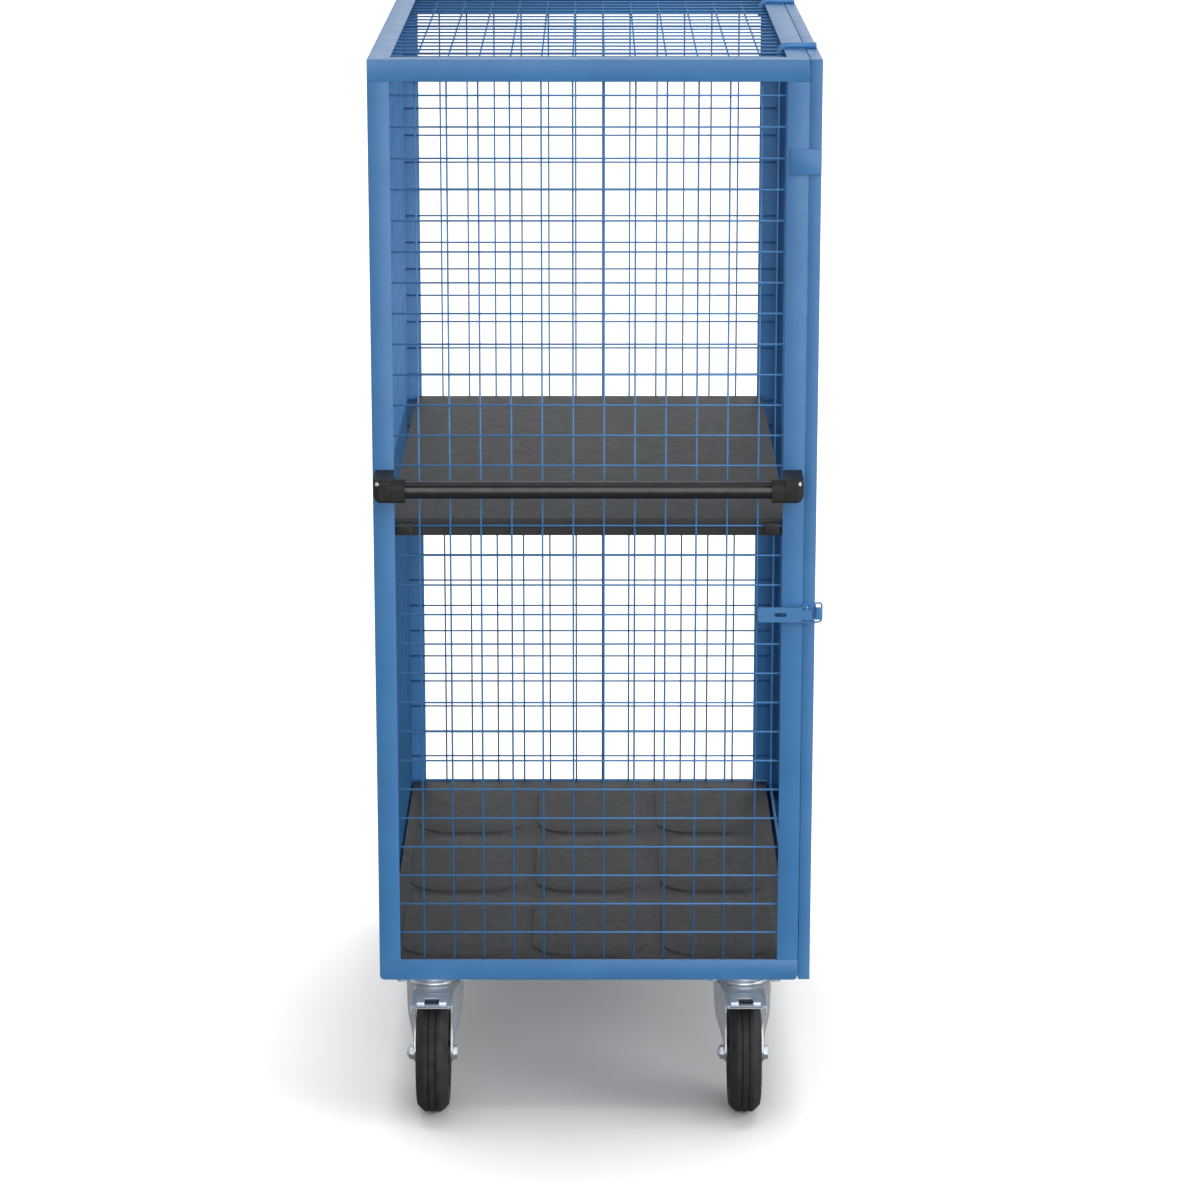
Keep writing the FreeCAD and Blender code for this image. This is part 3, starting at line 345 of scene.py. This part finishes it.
def tube(points, radius, corner, sides=16):
    """Round bar along straight runs with bent corners and flat ends."""
    path = bent_path(points, corner)
    mesh = bmesh.new()
    rings = []
    side = None
    for at, point in enumerate(path):
        ahead = (path[min(at + 1, len(path) - 1)] - path[max(at - 1, 0)]).normalized()
        side = (ahead.orthogonal() if side is None else side - ahead * side.dot(ahead)).normalized()
        other = ahead.cross(side)
        rings.append([mesh.verts.new(point + radius * (side * math.cos(2 * math.pi * turn / sides)
                                                       + other * math.sin(2 * math.pi * turn / sides)))
                      for turn in range(sides)])
    for here, there in zip(rings, rings[1:]):
        for turn in range(sides):
            after = (turn + 1) % sides
            mesh.faces.new((here[turn], here[after], there[after], there[turn]))
    mesh.faces.new(rings[0])
    mesh.faces.new(rings[-1])
    return mesh


def hexagon(across, low, high, chamfer):
    """Hexagon along X with chamfered outer corners."""
    radius = across / math.cos(math.pi / 6)
    corners = [(math.cos(math.pi * side / 3), math.sin(math.pi * side / 3)) for side in range(6)]
    rings = []
    mesh = bmesh.new()
    for x, size in ((low, radius), (high - chamfer, radius), (high, radius - 1.6 * chamfer)):
        rings.append([mesh.verts.new((x, size * y, size * z)) for y, z in corners])
    for here, there in zip(rings, rings[1:]):
        for side in range(6):
            after = (side + 1) % 6
            mesh.faces.new((here[side], here[after], there[after], there[side]))
    mesh.faces.new(rings[0])
    mesh.faces.new(rings[-1])
    return mesh


# ---------------------------------------------------------------- castors

FORK_SHEET = 3.5 * MM
PLATE_SHEET = 6 * MM
PLATE_CORNER = 8 * MM
BOWL_DEPTH = 14.5 * MM


def middle_of(node):
    low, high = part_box(node)
    return (Vector(low) + Vector(high)) / 2


def body_name(node):
    return NODES[node].parent.name.removeprefix("body:")


def replacing(node, mesh, **softening):
    """Piece that stands in for one CAD node, on its body and in its slot."""
    piece(node + "_shaped", mesh, SLOT_OF[node], body_name(node), [node], **softening)


def make_tyre(wheel):
    """Solid tyre: ribbed tread with two grooves, stepped shoulders and a beaded seat."""
    node = f"tyre_{wheel}"
    low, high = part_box(node)
    rim_low, rim_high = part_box(f"rim_{wheel}")
    radius, half = (high.z - low.z) / 2, (high.x - low.x) / 2
    bead, inner = (rim_high.z - rim_low.z) / 2, half - 5 * MM
    wall = [(inner, bead), (inner + 1.5 * MM, bead + 1.5 * MM), (half - 0.6 * MM, bead + 4.5 * MM),
            (half, bead + 7 * MM), (half, radius - 16 * MM)]
    shoulder = [(half - 0.8 * MM, radius - 12.5 * MM), (half - 3.2 * MM, radius - 9 * MM),
                (half - 4.4 * MM, radius - 8.6 * MM), (half - 5.2 * MM, radius - 7 * MM),
                (half - 12.2 * MM, radius - 0.9 * MM), (half - 13.8 * MM, radius)]
    groove_outer, groove_inner, groove_floor = 7.9 * MM, 4.1 * MM, radius - 2.8 * MM
    lip, slope = 0.5 * MM, 1 * MM
    groove = [(groove_outer, radius), (groove_outer - lip, radius - lip),
              (groove_outer - slope, groove_floor), (groove_inner + slope, groove_floor),
              (groove_inner + lip, radius - lip), (groove_inner, radius)]
    mesh = lathe(mirrored(wall + shoulder + groove), 128)
    replacing(node, moved(mesh, middle_of(node)), bevel=0.35 * MM, smooth=25)


def make_rim(wheel):
    """Moulded rim: bed, dished web with ribs, and a hub boss on a steel bearing sleeve."""
    node = f"rim_{wheel}"
    low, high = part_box(node)
    bed, boss = (high.z - low.z) / 2, (high.x - low.x) / 2
    bed_half, web = boss - 6 * MM, 4 * MM
    profile = mirrored([(boss, 9 * MM), (boss, 17 * MM), (boss - 2 * MM, 20 * MM), (web + 3 * MM, 23 * MM),
                        (web, 28 * MM), (web, 50 * MM), (web + 3 * MM, 56 * MM),
                        (bed_half - 2 * MM, 60 * MM), (bed_half, 61 * MM), (bed_half, bed)])
    ribs, rib_start, rib_end, rib_half, setback = 8, 19 * MM, 58 * MM, 1.6 * MM, 5 * MM
    rib_outline = [(rib_start, boss - setback), (rib_end, bed_half - setback), (60 * MM, web - 1 * MM),
                   (rib_end, -bed_half + setback), (rib_start, -boss + setback)]
    meshes = [lathe(profile)]
    for turn in range(ribs):
        upright = turned("X", 360 / ribs * turn) @ Matrix(((0, 1, 0), (0, 0, -1), (-1, 0, 0)))
        meshes.append(moved(prism(rib_outline, -rib_half, rib_half), (0, 0, 0), upright))
    replacing(node, moved(joined(*meshes), middle_of(node)), bevel=0.5 * MM)
    bore, outside = 6.2 * MM, 10.5 * MM
    sleeve = lathe([(boss, bore), (boss, outside), (-boss, outside), (-boss, bore)], 48)
    piece(f"bearing_sleeve_{wheel}", moved(sleeve, middle_of(node)), "zinc", body_name(node), bevel=0.3 * MM)


def make_axle(wheel):
    """Axle bolt: head and washer at the right; washer, nut, locking ring and rounded end at the left."""
    node = f"axle_{wheel}"
    low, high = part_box(node)
    centre, middle = middle_of(node), middle_of(f"rim_{wheel}").x
    head, tail = high.x - middle, middle - low.x
    leg, shank, washer, across = 33 * MM, 6 * MM, 14 * MM, 10.8 * MM
    seat = leg + 1.6 * MM
    bolt = lathe([(-tail, 0), (-tail, 4.2 * MM), (-tail + 1.6 * MM, shank), (head - 1 * MM, shank),
                  (head - 1 * MM, 0)], 40)
    washers = [lathe([(side * leg, shank), (side * leg, washer), (side * seat, washer),
                      (side * seat, shank)], 48) for side in (1, -1)]
    nut = moved(hexagon(across, seat, tail - 4 * MM, 0.8 * MM), (0, 0, 0), turned("Z", 180))
    ring = lathe([(-tail + 4.2 * MM, 5 * MM), (-tail + 4.2 * MM, 9.2 * MM), (-tail + 2.2 * MM, 8.6 * MM),
                  (-tail + 1.6 * MM, 6.4 * MM), (-tail + 1.6 * MM, 5 * MM)], 48)
    mesh = joined(bolt, hexagon(across, seat, head, 1 * MM), *washers, nut, ring)
    replacing(node, moved(mesh, (middle, centre.y, centre.z)), bevel=0.25 * MM)


def leg_sheet(side, levels, columns):
    """Flared leg: rows of points from the top down, each from its front edge to its back edge."""
    rows = []
    for height, front, back, inner, flare in levels:
        row = []
        for column in range(columns + 1):
            share = column / columns
            bulge = share * share * (3 - 2 * share)
            across = inner + FORK_SHEET / 2 + flare * bulge
            row.append((side * across, front + (back - front) * share, height))
        rows.append(row)
    return shell(rows, FORK_SHEET)


def smooth_levels(keys, steps=6):
    """Points on smooth curves through key rows (height, front, back, inner, flare)."""
    def between(before, here, there, after, t):
        return 0.5 * (2 * here + (there - before) * t
                      + (2 * before - 5 * here + 4 * there - after) * t * t
                      + (3 * here - before - 3 * there + after) * t ** 3)

    levels = []
    for at in range(len(keys) - 1):
        around = (keys[max(at - 1, 0)], keys[at], keys[at + 1], keys[min(at + 2, len(keys) - 1)])
        for step in range(steps):
            levels.append(tuple(between(*values, step / steps) for values in zip(*around)))
    levels.append(keys[-1])
    return levels


def fork_bowl(crown):
    """Bowl of the lower ball race, round the kingpin."""
    profile = [(0, 9 * MM), (0, 38.5 * MM), (2 * MM, 41 * MM), (8 * MM, 42 * MM), (9 * MM, 40 * MM),
               (BOWL_DEPTH, 38.5 * MM), (BOWL_DEPTH, 30 * MM), (11 * MM, 27 * MM), (11 * MM, 9 * MM)]
    return moved(lathe(profile), (0, 0, crown - BOWL_DEPTH), turned("Y", -90))


def fork_nose(crown, reach):
    """Front of the crown, bent down at its front edge and a little at its sides."""
    bend = [(-20, 4), (-38, 4), (-48, 5), (-56, 7.5), (-62, 11), (-65, 15)]
    rows = []
    for column in range(17):
        x = (column / 8 - 1) * reach
        droop = 5 * MM * abs(x / reach) ** 6
        rows.append([(x, y * MM, crown - drop * MM - droop) for y, drop in bend])
    return shell(rows, 2.5 * MM)


def make_fork(side_word):
    """Pressed swivel fork: race bowl, rounded nose and two legs whose rear edges flare outward."""
    node = f"fork_front_{side_word}"
    foot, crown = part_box(node)[0].z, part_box(node)[1].z
    plate = middle_of(f"castor_plate_front_{side_word}")
    trail = middle_of(f"rim_front_{side_word}").y - plate.y
    inner = 29 * MM
    outer, back_outer = inner + FORK_SHEET, inner + FORK_SHEET + 15 * MM
    deck_plan = rounded([(-outer, -60 * MM), (outer, -60 * MM), (back_outer, 38 * MM),
                         (-back_outer, 38 * MM)], [2 * MM, 2 * MM, 10 * MM, 10 * MM])
    deck = prism(deck_plan, crown - BOWL_DEPTH, crown - BOWL_DEPTH + FORK_SHEET)
    keys = [(crown - 12 * MM, -62 * MM, 39 * MM, inner, 16 * MM),
            (crown - 40 * MM, -60 * MM, 37 * MM, inner, 16 * MM),
            (crown - 75 * MM, trail - 4 * MM, 22 * MM, inner, 13.5 * MM),
            (crown - 97 * MM, trail - 12 * MM, 0, inner, 6 * MM),
            (crown - 110 * MM, trail - 16 * MM, trail + 21 * MM, inner, 1 * MM),
            (crown - 122 * MM, trail - 14 * MM, trail + 14 * MM, inner, 0),
            (foot + 1 * MM, trail - 6 * MM, trail + 6 * MM, inner, 0)]
    legs = [leg_sheet(side, smooth_levels(keys), 12) for side in SIDES.values()]
    mesh = joined(fork_bowl(crown), fork_nose(crown, outer), deck, *legs)
    replacing(node, moved(mesh, (plate.x, plate.y, 0)), bevel=0.5 * MM, smooth=50)


def flat_plate(low, high):
    """Mounting plate with rounded corners at the top of a castor."""
    corners = [(low.x, low.y), (high.x, low.y), (high.x, high.y), (low.x, high.y)]
    return prism(rounded(corners, PLATE_CORNER), high.z - PLATE_SHEET, high.z)


def make_castor_plate(side_word):
    """Swivel castor's top plate with its race dish, ball groove and kingpin nut."""
    node = f"castor_plate_front_{side_word}"
    low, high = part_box(node)
    centre = (Vector(low) + Vector(high)) / 2
    under = high.z - PLATE_SHEET
    dish = lathe([(0, 8 * MM), (0, 42 * MM), (-1 * MM, 44.5 * MM), (-5 * MM, 46 * MM),
                  (-6.5 * MM, 45.2 * MM), (-7.2 * MM, 43 * MM), (-10.5 * MM, 42.2 * MM),
                  (-12.4 * MM, 40.5 * MM), (-12.4 * MM, 8 * MM)])
    dish = moved(dish, (centre.x, centre.y, under), turned("Y", -90))
    tip, pin_radius = low.z - under, 8 * MM
    pin = lathe([(0, 0), (0, pin_radius), (tip + 1.5 * MM, pin_radius), (tip, pin_radius - 1.5 * MM),
                 (tip, 0)], 40)
    pin = moved(pin, (centre.x, centre.y, under), turned("Y", -90))
    nut = hexagon(12 * MM, 0, 8.5 * MM, 1 * MM)
    nut = moved(nut, (centre.x, centre.y, low.z + 10.5 * MM), turned("Y", 90))
    replacing(node, joined(flat_plate(low, high), dish, pin, nut), bevel=0.4 * MM)


def pedal_cheek(side, half, front, back, pivot, top):
    """Side of the pedal: turned-down front corner, shallow flange and an ear round the pivot."""
    outer, inside = side * half, side * (half - 1.6 * MM)
    outline = [(front + 2.5 * MM, top - 0.5 * MM), (front + 1.5 * MM, top - 13 * MM),
               (front + 5 * MM, top - 15 * MM), (front + 11 * MM, top - 9 * MM),
               (back - 10 * MM, top - 8 * MM), (pivot - 6 * MM, top - 12 * MM),
               (pivot + 1 * MM, top - 12.2 * MM), (pivot + 4.6 * MM, top - 8.5 * MM),
               (pivot + 4.6 * MM, top - 3 * MM), (back - 1 * MM, top - 0.5 * MM)]
    radii = [0, 2 * MM, 2 * MM] + [3 * MM] * 6 + [0]
    return prism(rounded(outline, radii), min(outer, inside), max(outer, inside), "x")


def make_pedal(side_word):
    """Pressed brake pedal: hood with a front lip, side cheeks and a raised tab round a black pad."""
    node = f"brake_pedal_{side_word}"
    low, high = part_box(node)
    centre, half = (low.x + high.x) / 2, (high.x - low.x) / 2
    sheet, top = 2.5 * MM, high.z - 3 * MM
    front, pivot = low.y, high.y - 4.8 * MM
    back = front + 62 * MM
    plan = rounded([(-half, back), (half, back), (half, front), (-half, front)], [0, 0, 7 * MM, 7 * MM])
    hood = prism(plan, top - sheet, top)
    lip_half = half - 3 * MM
    lip_plan = rounded([(-lip_half, front), (lip_half, front), (lip_half, front + sheet),
                        (-lip_half, front + sheet)], 0.6 * MM)
    lip = prism(lip_plan, top - 4.5 * MM, top - 0.2 * MM)
    cheeks = [pedal_cheek(side, half, front, back, pivot, top) for side in SIDES.values()]
    tab_half, tab_front, tab_back = 25 * MM, front + 11 * MM, front + 50 * MM
    slot_half, slot_back = 12 * MM, front + 32 * MM
    tab_plan = rounded([(-tab_half, tab_front), (-slot_half, tab_front), (-slot_half, slot_back),
                        (slot_half, slot_back), (slot_half, tab_front), (tab_half, tab_front),
                        (tab_half, tab_back), (-tab_half, tab_back)],
                       [1 * MM, 1 * MM, 2 * MM, 2 * MM, 1 * MM, 1 * MM, 3 * MM, 3 * MM])
    tab = prism(tab_plan, top - 0.5 * MM, high.z)
    replacing(node, moved(joined(hood, lip, *cheeks, tab), (centre, 0, 0)), bevel=0.5 * MM, smooth=50)
    pad_plan = rounded([(-slot_half, tab_front), (slot_half, tab_front), (slot_half, slot_back),
                        (-slot_half, slot_back)], 1.5 * MM)
    pad = moved(prism(pad_plan, top - 0.6 * MM, top + 0.6 * MM), (centre, 0, 0))
    piece(f"pedal_pad_{side_word}", pad, "black_plastic", body_name(node), bevel=0.3 * MM)


def make_fixed_bracket(side_word):
    """Rear castor bracket: plate, saddle and two tapered legs."""
    node = f"castor_bracket_rear_{side_word}"
    low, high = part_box(node)
    centre = (Vector(low) + Vector(high)) / 2
    axle = middle_of(f"rim_rear_{side_word}")
    inner, half, top = 29.3 * MM, 42 * MM, high.z - PLATE_SHEET
    outer = inner + FORK_SHEET
    keys = [(top, -half, half, inner, 1 * MM),
            (top - 40 * MM, -38 * MM, 38 * MM, inner, 1.5 * MM),
            (top - 80 * MM, -27 * MM, 27 * MM, inner, 0.5 * MM),
            (axle.z, -16 * MM, 16 * MM, inner, 0),
            (low.z + 4 * MM, -12 * MM, 12 * MM, inner, 0),
            (low.z, -6 * MM, 6 * MM, inner, 0)]
    legs = [leg_sheet(side, smooth_levels(keys), 10) for side in SIDES.values()]
    saddle_plan = rounded([(-outer, -half), (outer, -half), (outer, half), (-outer, half)], 3 * MM)
    saddle = prism(saddle_plan, top - 4 * MM, top)
    bracket = moved(joined(saddle, *legs), (centre.x, centre.y, 0))
    replacing(node, joined(flat_plate(low, high), bracket), bevel=0.5 * MM, smooth=50)


def make_castors():
    for wheel in WHEELS:
        make_tyre(wheel)
        make_rim(wheel)
        make_axle(wheel)
    for side_word in SIDES:
        make_fork(side_word)
        make_castor_plate(side_word)
        make_pedal(side_word)
        make_fixed_bracket(side_word)


# ---------------------------------------------------------------- push bar

def bracket_arm(side, arm_inner, outer, low, high, bend):
    """Arm of the corner bracket, from the post to the bar, with its outer front corner a quarter round."""
    def ring(x, setback, lift):
        profile = rounded([(high.y, low.z + lift), (low.y + setback, low.z + lift),
                           (low.y + setback, high.z), (high.y, high.z)], [0, 4 * MM, 6 * MM, 0], 8)
        return [(side * x, point.x, point.y) for point in profile]

    rings = [ring(arm_inner, 0, 0), ring(outer - bend, 0, 0)]
    steps = 6
    for step in range(1, steps + 1):
        turn = math.radians(90 / steps * step)
        along, lift = bend * math.sin(turn), bend * (1 - math.cos(turn))
        rings.append(ring(outer - bend + along, along, lift))
    arm = bmesh.new()
    loops = [[arm.verts.new(point) for point in points] for points in rings]
    for here, there in zip(loops, loops[1:]):
        for at in range(len(here)):
            after = (at + 1) % len(here)
            arm.faces.new((here[at], here[after], there[after], there[at]))
    arm.faces.new(loops[0])
    arm.faces.new(loops[-1])
    return arm


def make_handle_bracket(side_word):
    """Moulded corner bracket: an arm and a socket about the bar's end. Returns the screw in its corner."""
    side = SIDES[side_word]
    node = f"handle_bracket_{side_word}"
    low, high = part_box(node)
    bar = middle_of("push_bar")
    outer, inner = max(side * low.x, side * high.x), min(side * low.x, side * high.x)
    arm_inner, bend = outer - 30 * MM, 10 * MM
    reach = bar.y - low.y
    arm = bracket_arm(side, arm_inner, outer, low, high, bend)
    socket_outline = rounded([(bar.y - reach, low.z), (bar.y + reach, low.z), (bar.y + reach, bar.z + reach),
                              (bar.y - reach, bar.z + reach)], [4 * MM, 4 * MM, 15 * MM, 15 * MM], 8)
    socket = prism(socket_outline, *sorted((side * inner, side * (arm_inner + 1 * MM))), "x")
    replacing(node, joined(arm, socket), bevel=0.9 * MM, smooth=35, segments=3)

    screw = lathe([(-6 * MM, 0), (-6 * MM, 3 * MM), (0, 3 * MM), (0, 3.9 * MM), (0.9 * MM, 3.7 * MM),
                   (1.7 * MM, 2.9 * MM), (2 * MM, 1.9 * MM), (1 * MM, 1.8 * MM), (1 * MM, 0)], 40)
    inset = 6.6 * MM
    place = Vector((side * (outer - inset), low.y + bend - inset, high.z - inset))
    return moved(screw, place, Vector((1, 0, 0)).rotation_difference(Vector((side, -1, 0))).to_matrix())


def make_push_bar():
    """Anodised tube with a narrow groove along its upper front, and a black strip filling the groove as
    painted shade.
    """
    node = "push_bar"
    low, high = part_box(node)
    centre, radius, depth = middle_of(node), 14 * MM, 2.4 * MM
    groove_at, groove_half, groove_slope = math.radians(36), math.radians(5), math.radians(1)

    def on_bar(angle, distance):
        return (centre.y - distance * math.cos(angle), centre.z + distance * math.sin(angle))

    outline = []
    steps = 180
    for step in range(steps):
        angle = 2 * math.pi * step / steps
        off = abs((angle - groove_at + math.pi) % (2 * math.pi) - math.pi)
        dip = depth * min(1, max(0, (groove_half - off) / groove_slope))
        outline.append(on_bar(angle, radius - dip))
    replacing(node, prism(outline, low.x, high.x, "x"), bevel=0.15 * MM, smooth=25)
    # Black strip inside the groove: painted shade that darkens the groove beyond what its depth gives.
    angles = [groove_at + groove_half * share for share in (-0.95, -0.5, 0, 0.5, 0.95)]
    top = [on_bar(angle, radius - 0.5 * MM) for angle in angles]
    bottom = [on_bar(angle, radius - depth - 0.4 * MM) for angle in angles]
    groove_shade_strip = prism(top + bottom[::-1], low.x, high.x, "x")
    piece("push_bar_groove_strip", groove_shade_strip, "black_plastic", body_name(node))


def make_handle():
    screws = [make_handle_bracket(side_word) for side_word in SIDES]
    replacing("handle_screws", joined(*screws), bevel=0.15 * MM)
    make_push_bar()


# ---------------------------------------------------------------- latch

def lever_face(left, pin, half, tongue, middle, sheet):
    """Face of the lever: full width up to the pin's ears, a tongue between them, a slot and two holes."""
    shoulder, corner = pin.x - 4 * MM, 4 * MM
    plan = rounded([(left, -half), (shoulder, -half), (shoulder, -tongue), (pin.x, -tongue),
                    (pin.x, tongue), (shoulder, tongue), (shoulder, half), (left, half)],
                   [corner, 1 * MM, 0, 0, 0, 0, 1 * MM, corner], 6)
    slot_half, slot_end = 3.5 * MM, pin.x - 33 * MM
    slot_start = slot_end - 20 * MM
    slot = rounded([(slot_start, -slot_half), (slot_end, -slot_half), (slot_end, slot_half),
                    (slot_start, slot_half)], slot_half * 0.98, 8)
    hole_half, x = 1.4 * MM, pin.x - 6 * MM
    holes = []
    for side in SIDES.values():
        z = side * 9.3 * MM
        square = [(x - hole_half, z - hole_half), (x + hole_half, z - hole_half),
                  (x + hole_half, z + hole_half), (x - hole_half, z + hole_half)]
        holes.append(rounded(square, 0.98 * hole_half))
    plate = plate_with_holes(plan, [slot, *holes], middle, sheet)
    return moved(plate, (0, 0, pin.z))


def lever_nose(pin, tongue, front, sheet):
    """Rolled end of the lever, round the pin between the ears."""
    reach, steps, step_turn = 7.2 * MM, 11, math.radians(11)
    rows = []
    for step in range(steps):
        x = pin.x + reach * math.sin(step_turn * step)
        y = pin.y + (front - pin.y) * math.cos(step_turn * step)
        rows.append([(x, y, pin.z + side * tongue) for side in SIDES.values()])
    return shell(rows, sheet)


def lever_cheek(side, pin, half, front):
    """Side of the channel, from the lever's face back to the pin."""
    inside, outside = sorted((side * (half - 1.2 * MM), side * half))
    outline = [(pin.x - 26 * MM, front + 0.2 * MM), (pin.x + 2 * MM, front + 0.2 * MM),
               (pin.x + 4.2 * MM, pin.y - 1 * MM), (pin.x + 3.5 * MM, pin.y + 4 * MM),
               (pin.x - 7.5 * MM, pin.y + 4.4 * MM), (pin.x - 24 * MM, front + 2.2 * MM)]
    radii = [0.5 * MM, 2 * MM, 2 * MM, 2.5 * MM, 4 * MM, 1 * MM]
    return prism(rounded(outline, radii), pin.z + inside, pin.z + outside)


def make_lever(pin):
    low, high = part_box("latch_lever")
    half, tongue, sheet = (high.z - low.z) / 2, 8.5 * MM, 2 * MM
    middle = low.y + sheet / 2
    face = lever_face(low.x, pin, half, tongue, middle, sheet)
    nose = lever_nose(pin, tongue, middle, 0.8 * sheet)
    cheeks = [lever_cheek(side, pin, half, low.y) for side in SIDES.values()]
    replacing("latch_lever", joined(face, nose, *cheeks), bevel=0.3 * MM, smooth=50)


def make_loop(pin):
    """Wire loop that slants back from the lever and passes behind the catch's lip."""
    low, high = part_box("latch_loop")
    wire, bend = 1.5 * MM, 5 * MM
    reach = (high.z - low.z) / 2 - wire
    start, end, back = low.x + wire, high.x - wire, high.y - wire
    half = [(start, pin.y, 9 * MM), (start, pin.y, reach), (end, back, reach)]
    points = half + [(x, y, -z) for x, y, z in reversed(half)]
    replacing("latch_loop", moved(tube(points, wire, bend, 14), (0, 0, pin.z)))


def make_latch():
    """Toggle latch: channel lever with a padlock slot and a rolled nose, and a wire loop round the catch."""
    pin = middle_of("latch_pin")
    make_lever(pin)
    make_loop(pin)


def plate_with_holes(plan, holes, middle, thickness):
    """Flat plate in the XZ plane, filled between a closed outline and closed holes."""
    curve = bpy.data.curves.new("plate", "CURVE")
    curve.dimensions = "2D"
    curve.fill_mode = "BOTH"
    curve.extrude = thickness / 2
    for outline in [plan, *holes]:
        spline = curve.splines.new("POLY")
        spline.points.add(len(outline) - 1)
        for point, (x, z) in zip(spline.points, outline):
            point.co = (x, z, 0, 1)
        spline.use_cyclic_u = True
    scratch = bpy.data.objects.new("plate", curve)
    data = bpy.data.meshes.new_from_object(scratch)
    mesh = bmesh.new()
    mesh.from_mesh(data)
    bpy.data.objects.remove(scratch)
    bpy.data.curves.remove(curve)
    bpy.data.meshes.remove(data)
    return moved(mesh, (0, middle, 0), turned("X", 90))


# ---------------------------------------------------------------- CAD nodes that stay

def dress_cad_nodes():
    """Give every CAD node its material, and soften the sharp edges of all but the wire mesh."""
    for name, node in NODES.items():
        node.data.materials.clear()
        node.data.materials.append(MATERIALS[SLOT_OF[name]])
        weld = node.modifiers.new("weld", "WELD")
        weld.merge_threshold = 1e-6
        if "mesh" not in name:
            bevel = node.modifiers.new("bevel", "BEVEL")
            bevel.width = 0.6 * MM
            bevel.segments = 2
            bevel.limit_method = "ANGLE"
            bevel.angle_limit = math.radians(40)
            bevel.harden_normals = True
        for polygon in node.data.polygons:
            polygon.use_smooth = True


# ---------------------------------------------------------------- stage

CAGE_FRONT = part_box("post_front_left")[0].y
CAGE_MIDDLE = (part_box("post_front_left")[0].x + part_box("post_front_right")[1].x) / 2
CAMERA_PLACE = (CAGE_MIDDLE + 0.009, CAGE_FRONT - 5.934, 2.475)
CAMERA_TILT = math.radians(14.31)
LENS = 112.77
SENSOR = 36.0
SHIFT_X, SHIFT_Y = 0.004917, -0.033333


def make_camera():
    """Long lens in front of the push bar, above the roof, tilted down."""
    data = bpy.data.cameras.new("camera")
    camera = bpy.data.objects.new("camera", data)
    bpy.context.scene.collection.objects.link(camera)
    camera.location = CAMERA_PLACE
    camera.rotation_euler = (math.pi / 2 - CAMERA_TILT, 0, 0)
    data.lens = LENS
    data.sensor_width = SENSOR
    data.shift_x = SHIFT_X
    data.shift_y = SHIFT_Y
    data.clip_end = 200
    bpy.context.scene.camera = camera


def make_floor():
    """Wide pale disc that shows shadows and leaves the object's own shading and reflections alone."""
    floor_mesh = bmesh.new()
    bmesh.ops.create_circle(floor_mesh, cap_ends=True, segments=96, radius=80)
    data = bpy.data.meshes.new("floor")
    floor_mesh.to_mesh(data)
    floor_mesh.free()
    floor = bpy.data.objects.new("floor", data)
    bpy.context.scene.collection.objects.link(floor)
    finish = Finish("pale_floor", specular=0.0)
    finish.colour(finish.noise(1.5, 2), (0.93, 0.93, 0.93, 1), (0.95, 0.95, 0.95, 1))
    finish.roughness(finish.noise(3, 2), 0.8, 0.9)
    data.materials.append(finish.material)
    floor.visible_diffuse = False
    floor.visible_glossy = False
    return floor


def sun(name, azimuth, elevation, strength, softness):
    """Soft directional light: azimuth 0 shines from -Y, positive azimuths from +X."""
    data = bpy.data.lights.new(name, "SUN")
    data.energy = strength
    data.angle = math.radians(softness)
    lamp = bpy.data.objects.new(name, data)
    turn, rise = math.radians(azimuth), math.radians(elevation)
    toward = Vector((math.sin(turn) * math.cos(rise), -math.cos(turn) * math.cos(rise), math.sin(rise)))
    lamp.rotation_euler = (-toward).to_track_quat("-Z", "Y").to_euler()
    bpy.context.scene.collection.objects.link(lamp)
    return lamp


def make_world():
    """Studio surroundings: even at eye level, a little brighter overhead, dark below, bright behind."""
    world = bpy.data.worlds.new("studio")
    world.use_nodes = True
    tree = world.node_tree
    direction = tree.nodes.new("ShaderNodeSeparateXYZ")
    tree.links.new(tree.nodes.new("ShaderNodeTexCoord").outputs["Generated"], direction.inputs["Vector"])

    def graded(value, low, high, at_low, at_high):
        span = tree.nodes.new("ShaderNodeMapRange")
        span.interpolation_type = "SMOOTHSTEP"
        for name, number in (("From Min", low), ("From Max", high), ("To Min", at_low), ("To Max", at_high)):
            span.inputs[name].default_value = number
        tree.links.new(value, span.inputs["Value"])
        return span.outputs["Result"]

    def combined(operation, one, other):
        math_node = tree.nodes.new("ShaderNodeMath")
        math_node.operation = operation
        tree.links.new(one, math_node.inputs[0])
        tree.links.new(other, math_node.inputs[1])
        return math_node.outputs["Value"]

    height = combined("ADD", graded(direction.outputs["Z"], -0.6, 0.05, 0.16, 0.46),
                      graded(direction.outputs["Z"], 0.1, 0.95, 0.0, 0.10))
    behind = combined("MULTIPLY", graded(direction.outputs["Y"], 0.3, 0.95, 0.0, 0.6),
                      graded(direction.outputs["Z"], -0.2, 0.15, 0.0, 1.0))
    background = tree.nodes["Background"]
    tree.links.new(combined("ADD", height, behind), background.inputs["Strength"])
    background.inputs["Color"].default_value = (1, 1, 1, 1)
    bpy.context.scene.world = world


def make_lights(floor):
    """Broad light from the front and the right, and an overhead lamp that lights only the floor."""
    make_world()
    sun("front", 6, 12, 1.28, 50)
    sun("side", 74, 18, 1.5, 50)
    overhead = sun("overhead", 170, 78, 2.2, 40)
    lit_floor = bpy.data.collections.new("lit_floor")
    lit_floor.objects.link(floor)
    overhead.light_linking.receiver_collection = lit_floor
    bpy.context.scene.view_settings.view_transform = "Standard"


dress_cad_nodes()
make_castors()
make_handle()
make_latch()
make_lights(make_floor())
make_camera()
